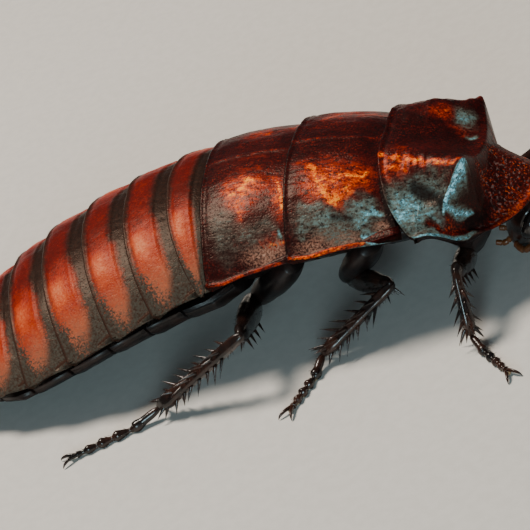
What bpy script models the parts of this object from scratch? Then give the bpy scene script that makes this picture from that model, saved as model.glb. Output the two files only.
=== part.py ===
# Madagascar hissing cockroach, adult male, standing, at life size.
# Lengths are in millimetres until new_object() turns them into metres.
# +X is forwards, +Y is the animal's left and +Z is up. The floor is Z = 0.

import math

import bmesh
import bpy
import numpy as np

MM = 0.001
GAP = 0.3  # between neighbouring solids
UP, FORWARD = np.array([0.0, 0.0, 1.0]), np.array([1.0, 0.0, 0.0])

# Distances along the body run back from a point 1.2 mm ahead of the pronotum's front edge.
# The plates of the back by their rear edges in the middle, and how far the corners sweep back
PLATES = ["pronotum", "mesonotum", "metanotum"] + [f"tergite_{i}" for i in range(1, 8)]
REAR_EDGE = [15.6, 23.9, 32.4, 36.2, 41.0, 45.8, 50.8, 55.6, 60.0, 63.6]
SWEEP = [-2.6, 0.4, 1.0, -1.7, -0.8, -0.3, 0.1, 0.5, 1.0, 1.5]
TAIL_END = 66.6

# Half width and height of the arched back above its own side margins
WIDTH_AT = [0, 3, 8, 12, 15.6, 20, 24, 32, 36, 40, 45, 50, 54, 58, 62, 66.6]
HALF_WIDTH = [0.5, 7, 10, 10.7, 10.5, 11.3, 11.7, 12.2, 12.3, 12.5, 12.7, 12.6, 12.2, 11.4, 9.6, 6]
HEIGHT_AT = [0, 4, 8, 12, 15.6, 20, 24, 32, 36, 45, 50, 54, 58, 62, 66.6]
ARCH_HEIGHT = [0.8, 2.0, 3.9, 4.8, 5.2, 5.6, 5.9, 6.2, 6.3, 6.3, 6.1, 5.6, 4.8, 3.6, 2.0]
ARCH_POWER = 2.3

# The body axis: nose down at the pronotum, tail down at the abdomen, tail bent right
PITCH_AT = [0, 8, 14, 20, 28, 34, 40, 50, 57, 65]
PITCH = [-9.9, -9.4, -7.9, -1.0, 5.0, 7.4, 11.4, 15.0, 12.0, 5.0]
BEND_FROM, BEND_TO, BEND = 27.0, 47.0, 11.0
MARGIN_HEIGHT, HEIGHT_STATION = 10.8, 24.0
MIDDLE_STATION = 28.0

# How neighbouring plates overlap
OVERLAP = 1.0
LIP_EDGE, LIP_ROOT = 0.35, 0.55
SINK = LIP_ROOT + GAP + 0.05
SINK_AT_EDGE = LIP_EDGE + GAP + 0.03
PLATE_FLOOR = -1.0
UNDERSIDE_TOP = PLATE_FLOOR - GAP

PRONOTUM_HALF_WIDTH = 10.7
SHIELD_FRONT, SHIELD_CORNER = 1.2, 11.0
KNOB_AT, KNOB_SIDE, KNOB_HEIGHT, KNOB_RADIUS = 7.3, 5.7, 3.7, 1.9

THORAX = ("prothorax", "mesothorax", "metathorax")
THORAX_JOINS = [8.9, 15.6, 23.5, 31.4]
BELLY_JOINS = [31.4, 37.6, 42.4, 47.2, 52.0, 56.4, 60.2, 65.0]
THORAX_HALF_WIDTH = 7.6
THORAX_DEPTH = 4.3
SIDE_WALL = 0.55  # height of a block's side above its rounded belly

BROWN, RED, DARK, BLACK = (0.09, 0.02, 0.012), (0.30, 0.055, 0.02), (0.05, 0.022, 0.014), (0.015, 0.01, 0.01)


# Body surface

def smooth(low, high, value):
    """Rises from 0 at low to 1 at high with flat ends."""
    share = np.clip((np.asarray(value, float) - low) / (high - low), 0, 1)
    return share * share * (3 - 2 * share)


def softened(values):
    """A running mean over 4 mm, which rounds the corners of a broken line."""
    kernel = np.ones(41) / 41
    return np.convolve(np.pad(values, 20, mode="edge"), kernel, "valid")


STATIONS = np.linspace(-5, 72, 771)
PITCHES = np.radians(softened(np.interp(STATIONS, PITCH_AT, PITCH)))
YAWS = np.radians(softened(BEND * np.clip((STATIONS - BEND_FROM) / (BEND_TO - BEND_FROM), 0, 1)))


def run_along(rate):
    """The running total of a rate over the stations, zero at the first."""
    return np.concatenate([[0], np.cumsum((rate[1:] + rate[:-1]) / 2 * np.diff(STATIONS))])


AXIS_X = -run_along(np.cos(PITCHES) * np.cos(YAWS))
AXIS_Y = -run_along(np.cos(PITCHES) * np.sin(YAWS))
AXIS_Z = -run_along(np.sin(PITCHES))
AXIS_X -= np.interp(MIDDLE_STATION, STATIONS, AXIS_X)
AXIS_Z += MARGIN_HEIGHT - np.interp(HEIGHT_STATION, STATIONS, AXIS_Z)


def body_point(along, across, height):
    """The place at a distance along the back, to the left of it, and above its margins."""
    along, across, height = np.broadcast_arrays(*map(np.asarray, (along, across, height)))
    pitch, yaw = np.interp(along, STATIONS, PITCHES), np.interp(along, STATIONS, YAWS)
    lean = np.sin(pitch) * height
    x = np.interp(along, STATIONS, AXIS_X) - np.cos(yaw) * lean - np.sin(yaw) * across
    y = np.interp(along, STATIONS, AXIS_Y) - np.sin(yaw) * lean + np.cos(yaw) * across
    z = np.interp(along, STATIONS, AXIS_Z) + np.cos(pitch) * height
    return np.stack([x, y, z], -1)


def half_width(along):
    return np.interp(along, WIDTH_AT, HALF_WIDTH)


def back_height(along, across):
    """Height of the arched back above its margins."""
    share = np.clip(np.abs(across) / half_width(along), 0, 1)
    return np.interp(along, HEIGHT_AT, ARCH_HEIGHT) * (1 - share**ARCH_POWER)


def rear_edge(index, share):
    """Where a plate's rear edge runs, from the middle (0) to the side (1)."""
    power = 4 if index == 0 else 3
    return REAR_EDGE[index] + SWEEP[index] * np.abs(share) ** power


# Making objects

def material(name, colour, roughness):
    made = bpy.data.materials.new(name)
    made.use_nodes = True
    shader = made.node_tree.nodes["Principled BSDF"]
    shader.inputs["Base Color"].default_value = (*colour, 1)
    shader.inputs["Roughness"].default_value = roughness
    made.diffuse_color = (*colour, 1)
    return made


def new_object(name, points, faces, finish, collection):
    """A closed mesh from points in millimetres, its faces turned outwards."""
    mesh = bpy.data.meshes.new(name)
    mesh.from_pydata((np.asarray(points, float) * MM).tolist(), [], faces)
    shape = bmesh.new()
    shape.from_mesh(mesh)
    bmesh.ops.triangulate(shape, faces=shape.faces[:], quad_method="FIXED", ngon_method="EAR_CLIP")
    bmesh.ops.recalc_face_normals(shape, faces=shape.faces[:])
    if shape.calc_volume(signed=True) < 0:
        bmesh.ops.reverse_faces(shape, faces=shape.faces[:])
    shape.to_mesh(mesh)
    shape.free()
    mesh.materials.append(finish)
    made = bpy.data.objects.new(name, mesh)
    collection.objects.link(made)
    return made


def loft(name, loops, finish, collection):
    """A closed body through loops of equal length, with flat ends."""
    loops = np.asarray(loops, float)
    count, size = loops.shape[:2]
    faces = []
    for i in range(count - 1):
        for k in range(size):
            after = (k + 1) % size
            faces.append((i * size + k, i * size + after, (i + 1) * size + after, (i + 1) * size + k))
    faces.append(tuple(range(size)))
    faces.append(tuple((count - 1) * size + k for k in reversed(range(size))))
    return new_object(name, loops.reshape(-1, 3), faces, finish, collection)


def unit(vector):
    vector = np.asarray(vector, float)
    return vector / np.linalg.norm(vector)


def between(start, end, shares):
    """Places on the straight line from start to end."""
    start, end = np.asarray(start, float), np.asarray(end, float)
    return [start + (end - start) * share for share in shares]


def tube_loops(path, heights, widths, up, sides):
    """Rings round a path, each an ellipse standing square to it."""
    path = np.asarray(path, float)
    tangents = np.gradient(path, axis=0)
    angles = np.arange(sides) * 2 * np.pi / sides
    loops = []
    for point, tangent, height, width in zip(path, tangents, heights, widths):
        tangent = unit(tangent)
        side = unit(np.cross(tangent, up))
        top = np.cross(side, tangent)
        loops.append(point + np.outer(np.cos(angles) * height, top) + np.outer(np.sin(angles) * width, side))
    return np.array(loops)


def longer(path, extra):
    """The same path drawn out at both ends."""
    path = np.array(path, float)
    path[0] -= extra * unit(path[1] - path[0])
    path[-1] += extra * unit(path[-1] - path[-2])
    return path


def on_floor(loops):
    """Presses what would reach below the floor into a flat sole."""
    loops = np.array(loops)
    loops[..., 2] = np.maximum(loops[..., 2], 0)
    return loops


def combine(body, pieces, operation, finish):
    """One Boolean of a body with the closed meshes of a collection, which then go."""
    join = body.modifiers.new("combine", "BOOLEAN")
    join.operation = operation
    join.operand_type = "COLLECTION"
    join.collection = pieces
    join.solver = "EXACT"
    bpy.context.view_layer.update()
    graph = bpy.context.evaluated_depsgraph_get()
    combined = bpy.data.meshes.new_from_object(body.evaluated_get(graph))
    body.modifiers.clear()
    body.data = combined
    for piece in list(pieces.objects):
        bpy.data.objects.remove(piece)
    bpy.data.collections.remove(pieces)
    keep_largest_surface(body)
    body.data.materials.clear()
    body.data.materials.append(finish)


def keep_largest_surface(body):
    """Drops every closed surface of a mesh but the one with the most area."""
    shape = bmesh.new()
    shape.from_mesh(body.data)
    bmesh.ops.triangulate(shape, faces=shape.faces[:])
    groups, seen = [], set()
    for start in shape.faces:
        if start in seen:
            continue
        group, waiting = [], [start]
        seen.add(start)
        while waiting:
            face = waiting.pop()
            group.append(face)
            for edge in face.edges:
                for near in edge.link_faces:
                    if near not in seen:
                        seen.add(near)
                        waiting.append(near)
        groups.append(group)
    groups.sort(key=lambda group: -sum(face.calc_area() for face in group))
    for group in groups[1:]:
        bmesh.ops.delete(shape, geom=group, context="FACES")
    shape.to_mesh(body.data)
    shape.free()


def helper_collection(name):
    made = bpy.data.collections.new(name)
    bpy.context.scene.collection.children.link(made)
    return made


# Plates of the back

def lip_overlap(share):
    """How far a plate reaches over the next one, less at the sides."""
    return OVERLAP * (1 - 0.45 * np.abs(share) ** 4)


def plate_half_width(index):
    """Half width of a plate at its rear edge."""
    return PRONOTUM_HALF_WIDTH if index == 0 else half_width(REAR_EDGE[index]) + 0.15


def arch_plate(index, finish, collection, shares, hollow):
    """A plate that comes out from under the one in front of it and rises to its own edge."""
    loops = []
    width_before = plate_half_width(index - 1)
    width_front, width_rear = width_before - 0.65, plate_half_width(index)
    room = 0.2 if index == 1 else 0.0  # the pronotum's rear edge bends more than the others
    for share in shares:
        front = rear_edge(index - 1, share * width_front / width_before)
        rear = rear_edge(index, share)
        overlap = lip_overlap(share)

        def side(along):
            mix = np.clip((along - front) / (rear - front), -0.3, 1)
            return share * (width_front + (width_rear - width_front) * mix)

        def place(along, depth):
            return body_point(along, side(along), back_height(along, side(along)) - depth)

        def low(along):
            across = side(along) - 0.6 * share
            return body_point(along, across, PLATE_FLOOR + hollow * eave_hollow(along, across))

        length = rear - front
        start = front - overlap + GAP + room
        loops.append([
            low(start),
            place(start, SINK + room),
            place(front, SINK_AT_EDGE + room),
            place(front + 0.35 * length, 0.45 * SINK_AT_EDGE),
            place(front + 0.7 * length, 0.05),
            place(rear, 0.0),
            place(rear - 0.12, LIP_EDGE),
            place(rear - overlap, LIP_ROOT),
            low(rear - overlap),
            low(front + 0.5 * length - 0.5 * (overlap - GAP)),
        ])
    return loft(PLATES[index], loops, finish, collection)


def eave_hollow(along, across):
    """Rise of a thoracic plate's underside between the trunk and the side margin."""
    inner, outer = THORAX_HALF_WIDTH + 0.5, half_width(along) - 0.6
    share = np.clip((np.abs(across) - inner) / (outer - inner), 0, 1)
    return 1.3 * np.sin(np.pi * share) ** 1.2


def pronotum_front(share):
    """Front outline of the pronotum, from the middle to the side."""
    return SHIELD_FRONT + (SHIELD_CORNER - SHIELD_FRONT) * np.abs(share) ** 2.3


def shield_height(along, across):
    """The pronotum without its knobs: an arch behind, in front a hood whose sides hang down."""
    side = np.abs(across)
    share = np.clip(side / PRONOTUM_HALF_WIDTH, 0, 1)
    ridge = np.interp(along, [0, 2, 5, 6.3, 7.5, 9.3, 12, 15.6], [0.9, 1.2, 1.35, 1.6, 2.9, 4.2, 4.85, 5.2])
    hood = 3.0 * smooth(11.5, 4.5, along) * (side / 7.5) ** 2.2
    return ridge * (1 - share**2.4) - hood


def pronotum_height(along, across):
    """The shield with its two knobs, the ridges and pits beside them and the valley between."""
    side = np.abs(across)
    crest = np.interp(along, [5, 7.3, 14], [5.7, KNOB_SIDE, 3.9])
    reach = np.interp(along, [5, 9, 15], [KNOB_RADIUS, 2.1, 2.4])
    strength = np.interp(along, [7.2, 9.5, 12.0, 15.0], [KNOB_HEIGHT, 1.8, 0.8, 0.1])
    knob = strength * smooth(6.2, 7.2, along) * np.exp(-(((side - crest) / reach) ** 2))
    ridge_line = KNOB_SIDE + (along - KNOB_AT) * 1.05
    ridge = 0.55 * smooth(6.9, 7.8, along) * (1 - smooth(9.0, 10.4, along))
    ridge = ridge * np.exp(-(((side - ridge_line) / 0.8) ** 2))
    valley = 0.5 * np.exp(-((across / 2.4) ** 2)) * smooth(6.5, 8.5, along) * (1 - smooth(11.0, 14.5, along))
    pit = 0.8 * np.exp(-((side - 7.3) ** 2 / 1.5 + (along - 11.0) ** 2 / 4.0))
    return shield_height(along, across) + knob + ridge - valley - pit


def pronotum(finish, collection):
    """The shield over the head: thin in front, full at the back, with a lip at its rear edge."""
    loops = []
    shares = 0.5 * np.sin(np.linspace(-1, 1, 29) * np.pi / 2) + 0.5 * np.linspace(-1, 1, 29)
    marks = np.array([6.3, 6.8, 7.25, 8.3, 9.7, 11.4, 13.5])
    steps = np.arange(1, len(marks) + 1)
    for share in shares:
        across = share * PRONOTUM_HALF_WIDTH
        front, rear = pronotum_front(share), rear_edge(0, share)
        wall = max(front + 0.75, min(8.0, rear - 3.2))
        overlap = lip_overlap(share)
        edge = 1 - np.abs(share) ** 3
        places = np.maximum(marks, front + 0.25 * steps)
        places = np.minimum(places, rear - 0.2 * (len(marks) + 1 - steps))
        shield = [front + (places[0] - front) * part for part in (0, 0.35, 0.7)]
        stations = [*shield, *places, rear]

        def top(along, depth=0.0):
            return body_point(along, across, pronotum_height(along, across) - depth)

        def low(along):
            sag = min(0.0, shield_height(along, across))
            return body_point(along, across * 0.955, PLATE_FLOOR + sag)

        def ceiling(along, thick):
            return body_point(along, across * 0.955, shield_height(along, across) - thick)

        loops.append(
            [top(station) for station in stations]
            + [
                top(rear - 0.12, LIP_EDGE),
                top(rear - overlap, LIP_ROOT),
                low(rear - overlap),
                low(wall + 0.5 * (rear - overlap - wall)),
                low(wall + 0.35),
                ceiling(wall, 0.95 + 1.6 * edge),
                ceiling(front + 0.55 * (wall - front), 0.95 + 0.2 * edge),
                ceiling(front + 0.35, 0.75),
            ]
        )
    return loft("pronotum", loops, finish, collection)


def supra_anal_plate(finish, collection):
    """The small last plate, notched in the middle of its rear edge."""
    loops = []
    last = len(REAR_EDGE) - 1
    wide = 5.2
    for share in np.linspace(-1, 1, 11):
        across = share * wide
        front = rear_edge(last, across / half_width(REAR_EDGE[last]))
        notch = 0.7 * np.exp(-((across / 1.3) ** 2))
        rear = TAIL_END - notch - 2.6 * np.abs(share) ** 2.6
        start = front - OVERLAP + GAP

        def place(along, depth, inset=0.0):
            side = share * (wide - inset)
            drop = 0.5 * smooth(front, TAIL_END, along) * np.abs(share) ** 2
            return body_point(along, side, back_height(along, side) - depth - drop)

        loops.append([
            body_point(start, share * (wide - 0.4), PLATE_FLOOR + 0.3),
            place(start, SINK),
            place(front, SINK_AT_EDGE),
            place((front + rear) / 2, SINK_AT_EDGE),
            place(rear, SINK_AT_EDGE + 0.25),
            place(rear - 0.15, SINK_AT_EDGE + 0.8, 0.3),
            body_point((front + rear) / 2, share * (wide - 0.4), PLATE_FLOOR + 0.3),
        ])
    return loft("supra_anal_plate", loops, finish, collection)


# Underside

def underside_piece(name, front, rear, wide, depth, finish, collection, step=0.0):
    """A block under the plates, flat above and rounded below, its front edge higher by a step."""
    loops = []
    middle = (front + rear) / 2
    for share in np.sin(np.linspace(-1, 1, 9) * np.pi / 2):
        bulge = (1 - np.abs(share) ** 3) ** 0.6

        def top(along):
            return body_point(along, share * wide(along), UNDERSIDE_TOP)

        def low(along, rise):
            reach = SIDE_WALL + (depth(along) + UNDERSIDE_TOP) * bulge
            return body_point(along, share * wide(along) * 0.985, UNDERSIDE_TOP - reach + rise * bulge)

        loops.append([
            top(front),
            top(middle),
            top(rear),
            low(rear, 0.35 * step),
            low(rear - 0.5, 0.0),
            low(middle, 0.4 * step),
            low(front, step),
        ])
    return loft(name, loops, finish, collection)


def thorax_width(along):
    return np.interp(along, [7, 10, 16, 31], [3.6, 5.6, 7.0, THORAX_HALF_WIDTH])


def thorax_depth(along):
    return np.interp(along, [7, 12, 20, 31], [3.2, 4.0, THORAX_DEPTH, THORAX_DEPTH])


def belly_width(along):
    return np.interp(along, [31, 34, 58, 61, 64], [9.2, 11.2, 10.2, 8.4, 6.3])


def belly_depth(along):
    return np.interp(along, [30, 36, 42, 50, 56, 60, 65], [4.4, 4.4, 4.3, 3.7, 3.2, 2.7, 1.9])


def thorax_blocks(extra, finish, collection):
    """The three blocks of the thorax, or the same made larger all round by a margin."""
    for name, front, rear in zip(THORAX, THORAX_JOINS, THORAX_JOINS[1:]):
        underside_piece(
            f"{name}_underside",
            front + GAP - extra,
            rear + extra,
            lambda along: thorax_width(along) + extra,
            lambda along: thorax_depth(along) + extra,
            finish,
            collection,
        )


def undersides(finish, collection):
    """The blocks of the thorax and the ventral plates of the abdomen."""
    thorax_blocks(0.0, finish, collection)
    last = len(BELLY_JOINS) - 2
    for index, (front, rear) in enumerate(zip(BELLY_JOINS, BELLY_JOINS[1:])):
        name = "subgenital_plate" if index == last else f"sternite_{index + 2}"
        underside_piece(name, front + GAP, rear, belly_width, belly_depth, finish, collection, 0.3)


# Head

HEAD_TOP = np.array([24.9, 0.0, 7.0])
HEAD_BOTTOM = np.array([21.2, 0.0, 1.1])
HEAD_HALF_WIDTH, HEAD_HALF_DEPTH = 3.6, 2.1
HEAD_STOPS = np.array([0.0, 0.05, 0.15, 0.3, 0.45, 0.6, 0.74, 0.84, 0.93, 1.0])
HEAD_WIDTHS = np.array([0.30, 0.62, 0.88, 1.0, 0.99, 0.88, 0.72, 0.60, 0.48, 0.28])
HEAD_DEPTHS = np.array([0.35, 0.68, 0.92, 1.0, 0.96, 0.88, 0.80, 0.66, 0.48, 0.25])


def head_point(stop, angle, out=0.0):
    """A place on the head: stop runs from crown to mouth, angle from the face round to the left."""
    axis = HEAD_BOTTOM - HEAD_TOP
    down = unit(axis)
    forward = unit(np.cross([0, 1, 0], down) * -1)
    wide = np.interp(stop, HEAD_STOPS, HEAD_WIDTHS) * HEAD_HALF_WIDTH + out
    deep = np.interp(stop, HEAD_STOPS, HEAD_DEPTHS) * HEAD_HALF_DEPTH + out
    centre = HEAD_TOP + axis * stop
    return centre + forward * deep * math.cos(angle) + np.array([0, 1, 0]) * wide * math.sin(angle)


def head(finish, collection):
    """The capsule with its upper lip, two jaws and the lower palps."""
    angles = np.arange(16) * 2 * np.pi / 16
    capsule = loft(
        "head", [[head_point(stop, angle) for angle in angles] for stop in HEAD_STOPS], finish, collection
    )
    extras = helper_collection("head_pieces")
    down = unit(HEAD_BOTTOM - HEAD_TOP)
    front = unit(np.cross([0, 1, 0], down) * -1)
    lip_root = head_point(0.74, 0.0, -0.35)
    lip_path = [lip_root, lip_root + down * 0.7 + front * 0.12, lip_root + down * 1.5, lip_root + down * 1.95]
    loft(
        "lip",
        tube_loops(lip_path, [0.45, 0.5, 0.42, 0.25], [1.25, 1.35, 1.2, 0.8], front, 8),
        finish,
        extras,
    )
    for side in (-1, 1):
        root = head_point(0.8, side * 1.1, -0.6)
        path = [root, root + down * 0.9, root + down * 1.5 + np.array([0, -side * 0.55, 0])]
        loft("jaw", tube_loops(path, [0.5, 0.55, 0.3], [0.55, 0.5, 0.25], front, 6), finish, extras)
        root = head_point(0.86, math.pi - side * 0.75, -0.35)
        path = [root, root + down * 0.9 - front * 0.5, root + down * 1.2 - front * 1.3]
        loft("lower_palp", tube_loops(path, [0.3, 0.3, 0.26], [0.3, 0.3, 0.26], front, 5), finish, extras)
    combine(capsule, extras, "UNION", finish)


def eye(side, finish, collection):
    """A kidney-shaped dome on the side of the head."""
    rings, around = 4, 12
    centre_stop, centre_angle = 0.34, 1.28
    half_stop, half_angle = 0.225, 0.42
    loops_out, loops_in = [], []
    for ring in range(rings + 1):
        share = ring / rings
        bulge = 0.42 + 0.75 * math.sqrt(max(0.0, 1 - share**2.4))
        for places, out in ((loops_out, bulge), (loops_in, GAP)):
            loop = []
            for k in range(around):
                turn = 2 * math.pi * k / around
                reach = share if ring else 0.04
                stop = centre_stop + half_stop * reach * math.cos(turn)
                angle = centre_angle + half_angle * reach * (math.sin(turn) + 0.25 * math.cos(turn) ** 2)
                loop.append(head_point(stop, side * angle, out))
            places.append(loop)
    name = "eye_left" if side > 0 else "eye_right"
    return loft(name, loops_out + loops_in[::-1], finish, collection)


def neck(finish, collection):
    """The short soft neck between the head and the first block of the thorax."""
    back = head_point(0.42, math.pi, GAP)
    start = body_point(THORAX_JOINS[0], 0, UNDERSIDE_TOP - 1.5)
    path = between(back, start, [0, 0.4, 0.9])
    return loft(
        "neck", tube_loops(path, [1.0, 1.25, 1.15], [1.7, 2.1, 2.3], UP, 10), finish, collection
    )


def antenna(side, finish, collection):
    """A feeler: a thick first joint, then a long whip that thins to its tip."""
    root = head_point(0.40, side * 0.62, GAP + 0.15)
    aim = unit([0.92, side * 0.38, 0.05])
    knee = root + aim * 2.2
    reach = 41.0 if side > 0 else 43.0
    spread = 0.75 if side > 0 else 0.62
    path = [root, root + aim * 0.5, root + aim * 1.7, knee]
    heading = math.atan2(side * spread, 1.0)
    steps = 34
    place = np.array(knee)
    for step in range(steps):
        share = (step + 1) / steps
        turn = heading * (1 - 0.35 * share) + side * 0.25 * math.sin(share * 3.0)
        climb = 0.42 * (1 - share) ** 1.5 - 0.30 * share**1.4
        place = place + reach / steps * unit([math.cos(turn), math.sin(turn), climb])
        path.append(place.copy())
    radii = [0.42, 0.62, 0.6, 0.42] + [0.40 - 0.16 * (step + 1) / steps for step in range(steps)]
    curve = bpy.data.curves.new("antenna", "CURVE")
    curve.dimensions = "3D"
    curve.bevel_depth = 1.0 * MM
    curve.bevel_resolution = 1
    curve.use_fill_caps = True
    spline = curve.splines.new("POLY")
    spline.points.add(len(path) - 1)
    for point, place, radius in zip(spline.points, path, radii):
        point.co = (*(place * MM), 1)
        point.radius = radius
    curve.materials.append(finish)
    name = "antenna_left" if side > 0 else "antenna_right"
    made = bpy.data.objects.new(name, curve)
    collection.objects.link(made)
    return made


def palp(side, finish, collection):
    """The long jointed feeler beside the mouth."""
    root = head_point(0.80, side * 1.75, GAP + 0.1)
    path = [
        root,
        root + np.array([0.2, side * 0.5, -0.1]),
        root + np.array([0.9, side * 1.1, -0.3]),
        root + np.array([1.9, side * 1.3, 0.1]),
        root + np.array([2.7, side * 1.1, -0.5]),
        root + np.array([3.3, side * 0.9, -1.1]),
    ]
    sizes = [0.25, 0.32, 0.33, 0.33, 0.38, 0.2]
    name = "palp_left" if side > 0 else "palp_right"
    return loft(name, tube_loops(path, sizes, sizes, UP, 6), finish, collection)


def cercus(side, finish, collection):
    """One of the two short tail feelers."""
    root = body_point(64.6, side * 5.9, 0.3)
    tip = body_point(68.2, side * 8.6, 0.6)
    path = [root + (tip - root) * share for share in (0, 0.12, 0.45, 0.8, 1.0)]
    sizes = [0.35, 0.6, 0.62, 0.42, 0.15]
    name = "cercus_left" if side > 0 else "cercus_right"
    return loft(name, tube_loops(path, sizes, sizes, UP, 7), finish, collection)


# Legs. The first two joints are the coxa's ends; a toe stands on the floor

LEG_JOINTS = ("root", "hip", "knee", "ankle", "toe")
LEG_PLACES = {
    "front_right": ((19.6, -4.9, 6.9), (17.6, -3.4, 3.1), (18.7, -12, 6.7), (18.6, -14.2, 1.2), (22.4, -19.2)),
    "middle_right": ((9.2, -5.9, 7.1), (5, -3.4, 2.9), (11.6, -9.8, 5.3), (3.75, -12.9, 1.2), (1.6, -19)),
    "hind_right": ((1.2, -6.1, 7), (-4.4, -4.2, 2.9), (-1.7, -15.7, 6.9), (-12.2, -16.6, 1.2), (-20.4, -20.6)),
    "front_left": ((19.6, 4.9, 6.9), (18, 3.4, 3.1), (23.8, 9.8, 4.7), (26.6, 13.6, 1.2), (30.5, 18)),
    "middle_left": ((9.2, 5.9, 7.1), (5, 3.4, 2.9), (9, 12.3, 6.3), (1.6, 16.8, 1.2), (-2.6, 22.2)),
    "hind_left": ((1.2, 6.1, 7), (-4.4, 4.2, 2.9), (-4.6, 15.8, 7.4), (-15.2, 20.6, 1.2), (-22.6, 25.8)),
}
LEG_SIZES = {
    "front": {"coxa": 1.55, "femur": 1.25, "tibia": 0.62, "tarsus": 0.42, "thorns": 7},
    "middle": {"coxa": 1.65, "femur": 1.3, "tibia": 0.66, "tarsus": 0.44, "thorns": 10},
    "hind": {"coxa": 1.75, "femur": 1.4, "tibia": 0.72, "tarsus": 0.46, "thorns": 13},
}
THORN_LENGTH, THORN_RADIUS = 2.0, 0.3
THORN_ROWS = (0.6, 2.5, -0.7, -2.4)  # angles round the shin, from its top
FEMUR_THORNS = (0.46, 0.6, 0.74, 0.86)


def limb_path(start, end, distances):
    """Places at distances from the start of a limb, or from its end where negative."""
    start, end = np.asarray(start, float), np.asarray(end, float)
    length = np.linalg.norm(end - start)
    return [start + (end - start) * ((d if d >= 0 else length + d) / length) for d in distances]


def limb_frame(start, end):
    """The direction of a limb, its side and its top."""
    along = unit(np.asarray(end) - np.asarray(start))
    side = unit(np.cross(along, UP))
    return along, side, np.cross(side, along)


def coxa_loops(joints, size, extra=0.0):
    """The broad flat first joint, lying back along the underside."""
    path = between(joints["root"], joints["hip"], [-0.16, 0.0, 0.25, 0.55, 0.82, 1.0])
    thick = np.array([0.5, 0.72, 0.82, 0.74, 0.6, 0.3]) * size + extra
    wide = np.array([0.85, 1.15, 1.3, 1.15, 0.85, 0.45]) * size + extra
    return tube_loops(path, thick, wide, UP, 9)


FEMUR_STOPS = np.array([-0.02, 0.04, 0.15, 0.36, 0.6, 0.82, 0.94, 1.01])
FEMUR_HEIGHTS = np.array([0.30, 0.58, 0.84, 1.0, 0.92, 0.7, 0.6, 0.32])


def femur_loops(joints, size, extra=0.0):
    """The stout thigh, deeper than wide."""
    tall = FEMUR_HEIGHTS * size
    path = longer(between(joints["hip"], joints["knee"], FEMUR_STOPS), extra)
    return tube_loops(path, tall + extra, 0.72 * tall + extra, UP, 9)


def tibia_loops(joints, size):
    path = limb_path(joints["knee"], joints["ankle"], [0.15, 0.9, 1.9, -2.6, -0.9, -0.1])
    tall = np.array([0.45, 0.78, 0.82, 0.92, 1.0, 0.7]) * size
    return tube_loops(path, tall, 0.9 * tall, UP, 8)


TARSUS_STOPS = np.array([0.0, 0.07, 0.32, 0.36, 0.52, 0.56, 0.7, 0.74, 0.9, 0.97])
TARSUS_WIDTHS = np.array([0.55, 0.9, 1.1, 0.72, 1.05, 0.72, 1.05, 0.72, 1.0, 0.75])


def tarsus_path(joints, size):
    """From the ankle down to the floor, then along it."""
    path = np.array(between([*joints["ankle"]], [*joints["toe"], 0.0], TARSUS_STOPS))
    path[:, 2] = np.interp(TARSUS_STOPS, [0, 0.32, 1], [joints["ankle"][2], 0.8 * size, 0.85 * size])
    return path


def tarsus_loops(joints, size, extra=0.0):
    wide = TARSUS_WIDTHS * size + extra
    return on_floor(tube_loops(longer(tarsus_path(joints, size), extra), wide, wide, UP, 8))


def thorn(root, aim, length, finish, extras):
    """A three-sided spine with a slight bend."""
    bend = length * 0.05
    path = [root, root + aim * length * 0.55, root + aim * length - UP * bend]
    helper = UP if abs(aim[2]) < 0.9 else FORWARD
    sizes = np.array([1.0, 0.68, 0.2]) * THORN_RADIUS
    loft("thorn", tube_loops(path, sizes, sizes, helper, 3), finish, extras)


def above_floor(root, aim, length):
    """The length that a thorn may have before its tip meets the floor."""
    if aim[2] >= 0:
        return length
    return min(length, 0.95 * max(0.0, root[2] - 0.25) / -aim[2])


def femur_thorns(joints, size, finish, extras):
    """A few thorns below the outer half of the thigh."""
    hip, knee = np.array(joints["hip"]), np.array(joints["knee"])
    along, side, top = limb_frame(hip, knee)
    for index, stop in enumerate(FEMUR_THORNS):
        swing = 0.35 if index % 2 else -0.35
        out = unit(side * math.sin(swing) - top * math.cos(swing))
        depth = np.interp(stop, FEMUR_STOPS, FEMUR_HEIGHTS) * size * 0.7
        root = hip + (knee - hip) * stop + out * depth
        aim = unit(out + along * 0.55)
        thorn(root, aim, above_floor(root, aim, 1.3), finish, extras)


def tibia_thorns(joints, size, count, finish, extras):
    """Rows of strong spines down the shin and a crown of spurs round the ankle."""
    knee, ankle = np.array(joints["knee"]), np.array(joints["ankle"])
    along, side, top = limb_frame(knee, ankle)
    for index in range(count):
        stop = 0.22 + 0.60 * index / (count - 1)
        turn = THORN_ROWS[index % len(THORN_ROWS)] + 0.12 * math.sin(index * 2.3)
        out = unit(top * math.cos(turn) + side * math.sin(turn))
        root = knee + (ankle - knee) * stop + out * size * 0.4
        aim = unit(out * 0.8 + along * 0.75)
        length = THORN_LENGTH * (0.85 + 0.15 * math.sin(index * 1.7))
        thorn(root, aim, above_floor(root, aim, length), finish, extras)
    toe_way = np.array([*joints["toe"], 0.0]) - ankle
    toe_turn = math.atan2(toe_way @ side, toe_way @ top)
    for step in (-2.5, -1.25, 1.25, 2.5):
        out = unit(top * math.cos(toe_turn + step) + side * math.sin(toe_turn + step))
        root = knee + (ankle - knee) * (1 - 0.9 / np.linalg.norm(ankle - knee)) + out * size * 0.45
        aim = unit(out * 0.62 + along * 0.9)
        thorn(root, aim, above_floor(root, aim, THORN_LENGTH), finish, extras)


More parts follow.
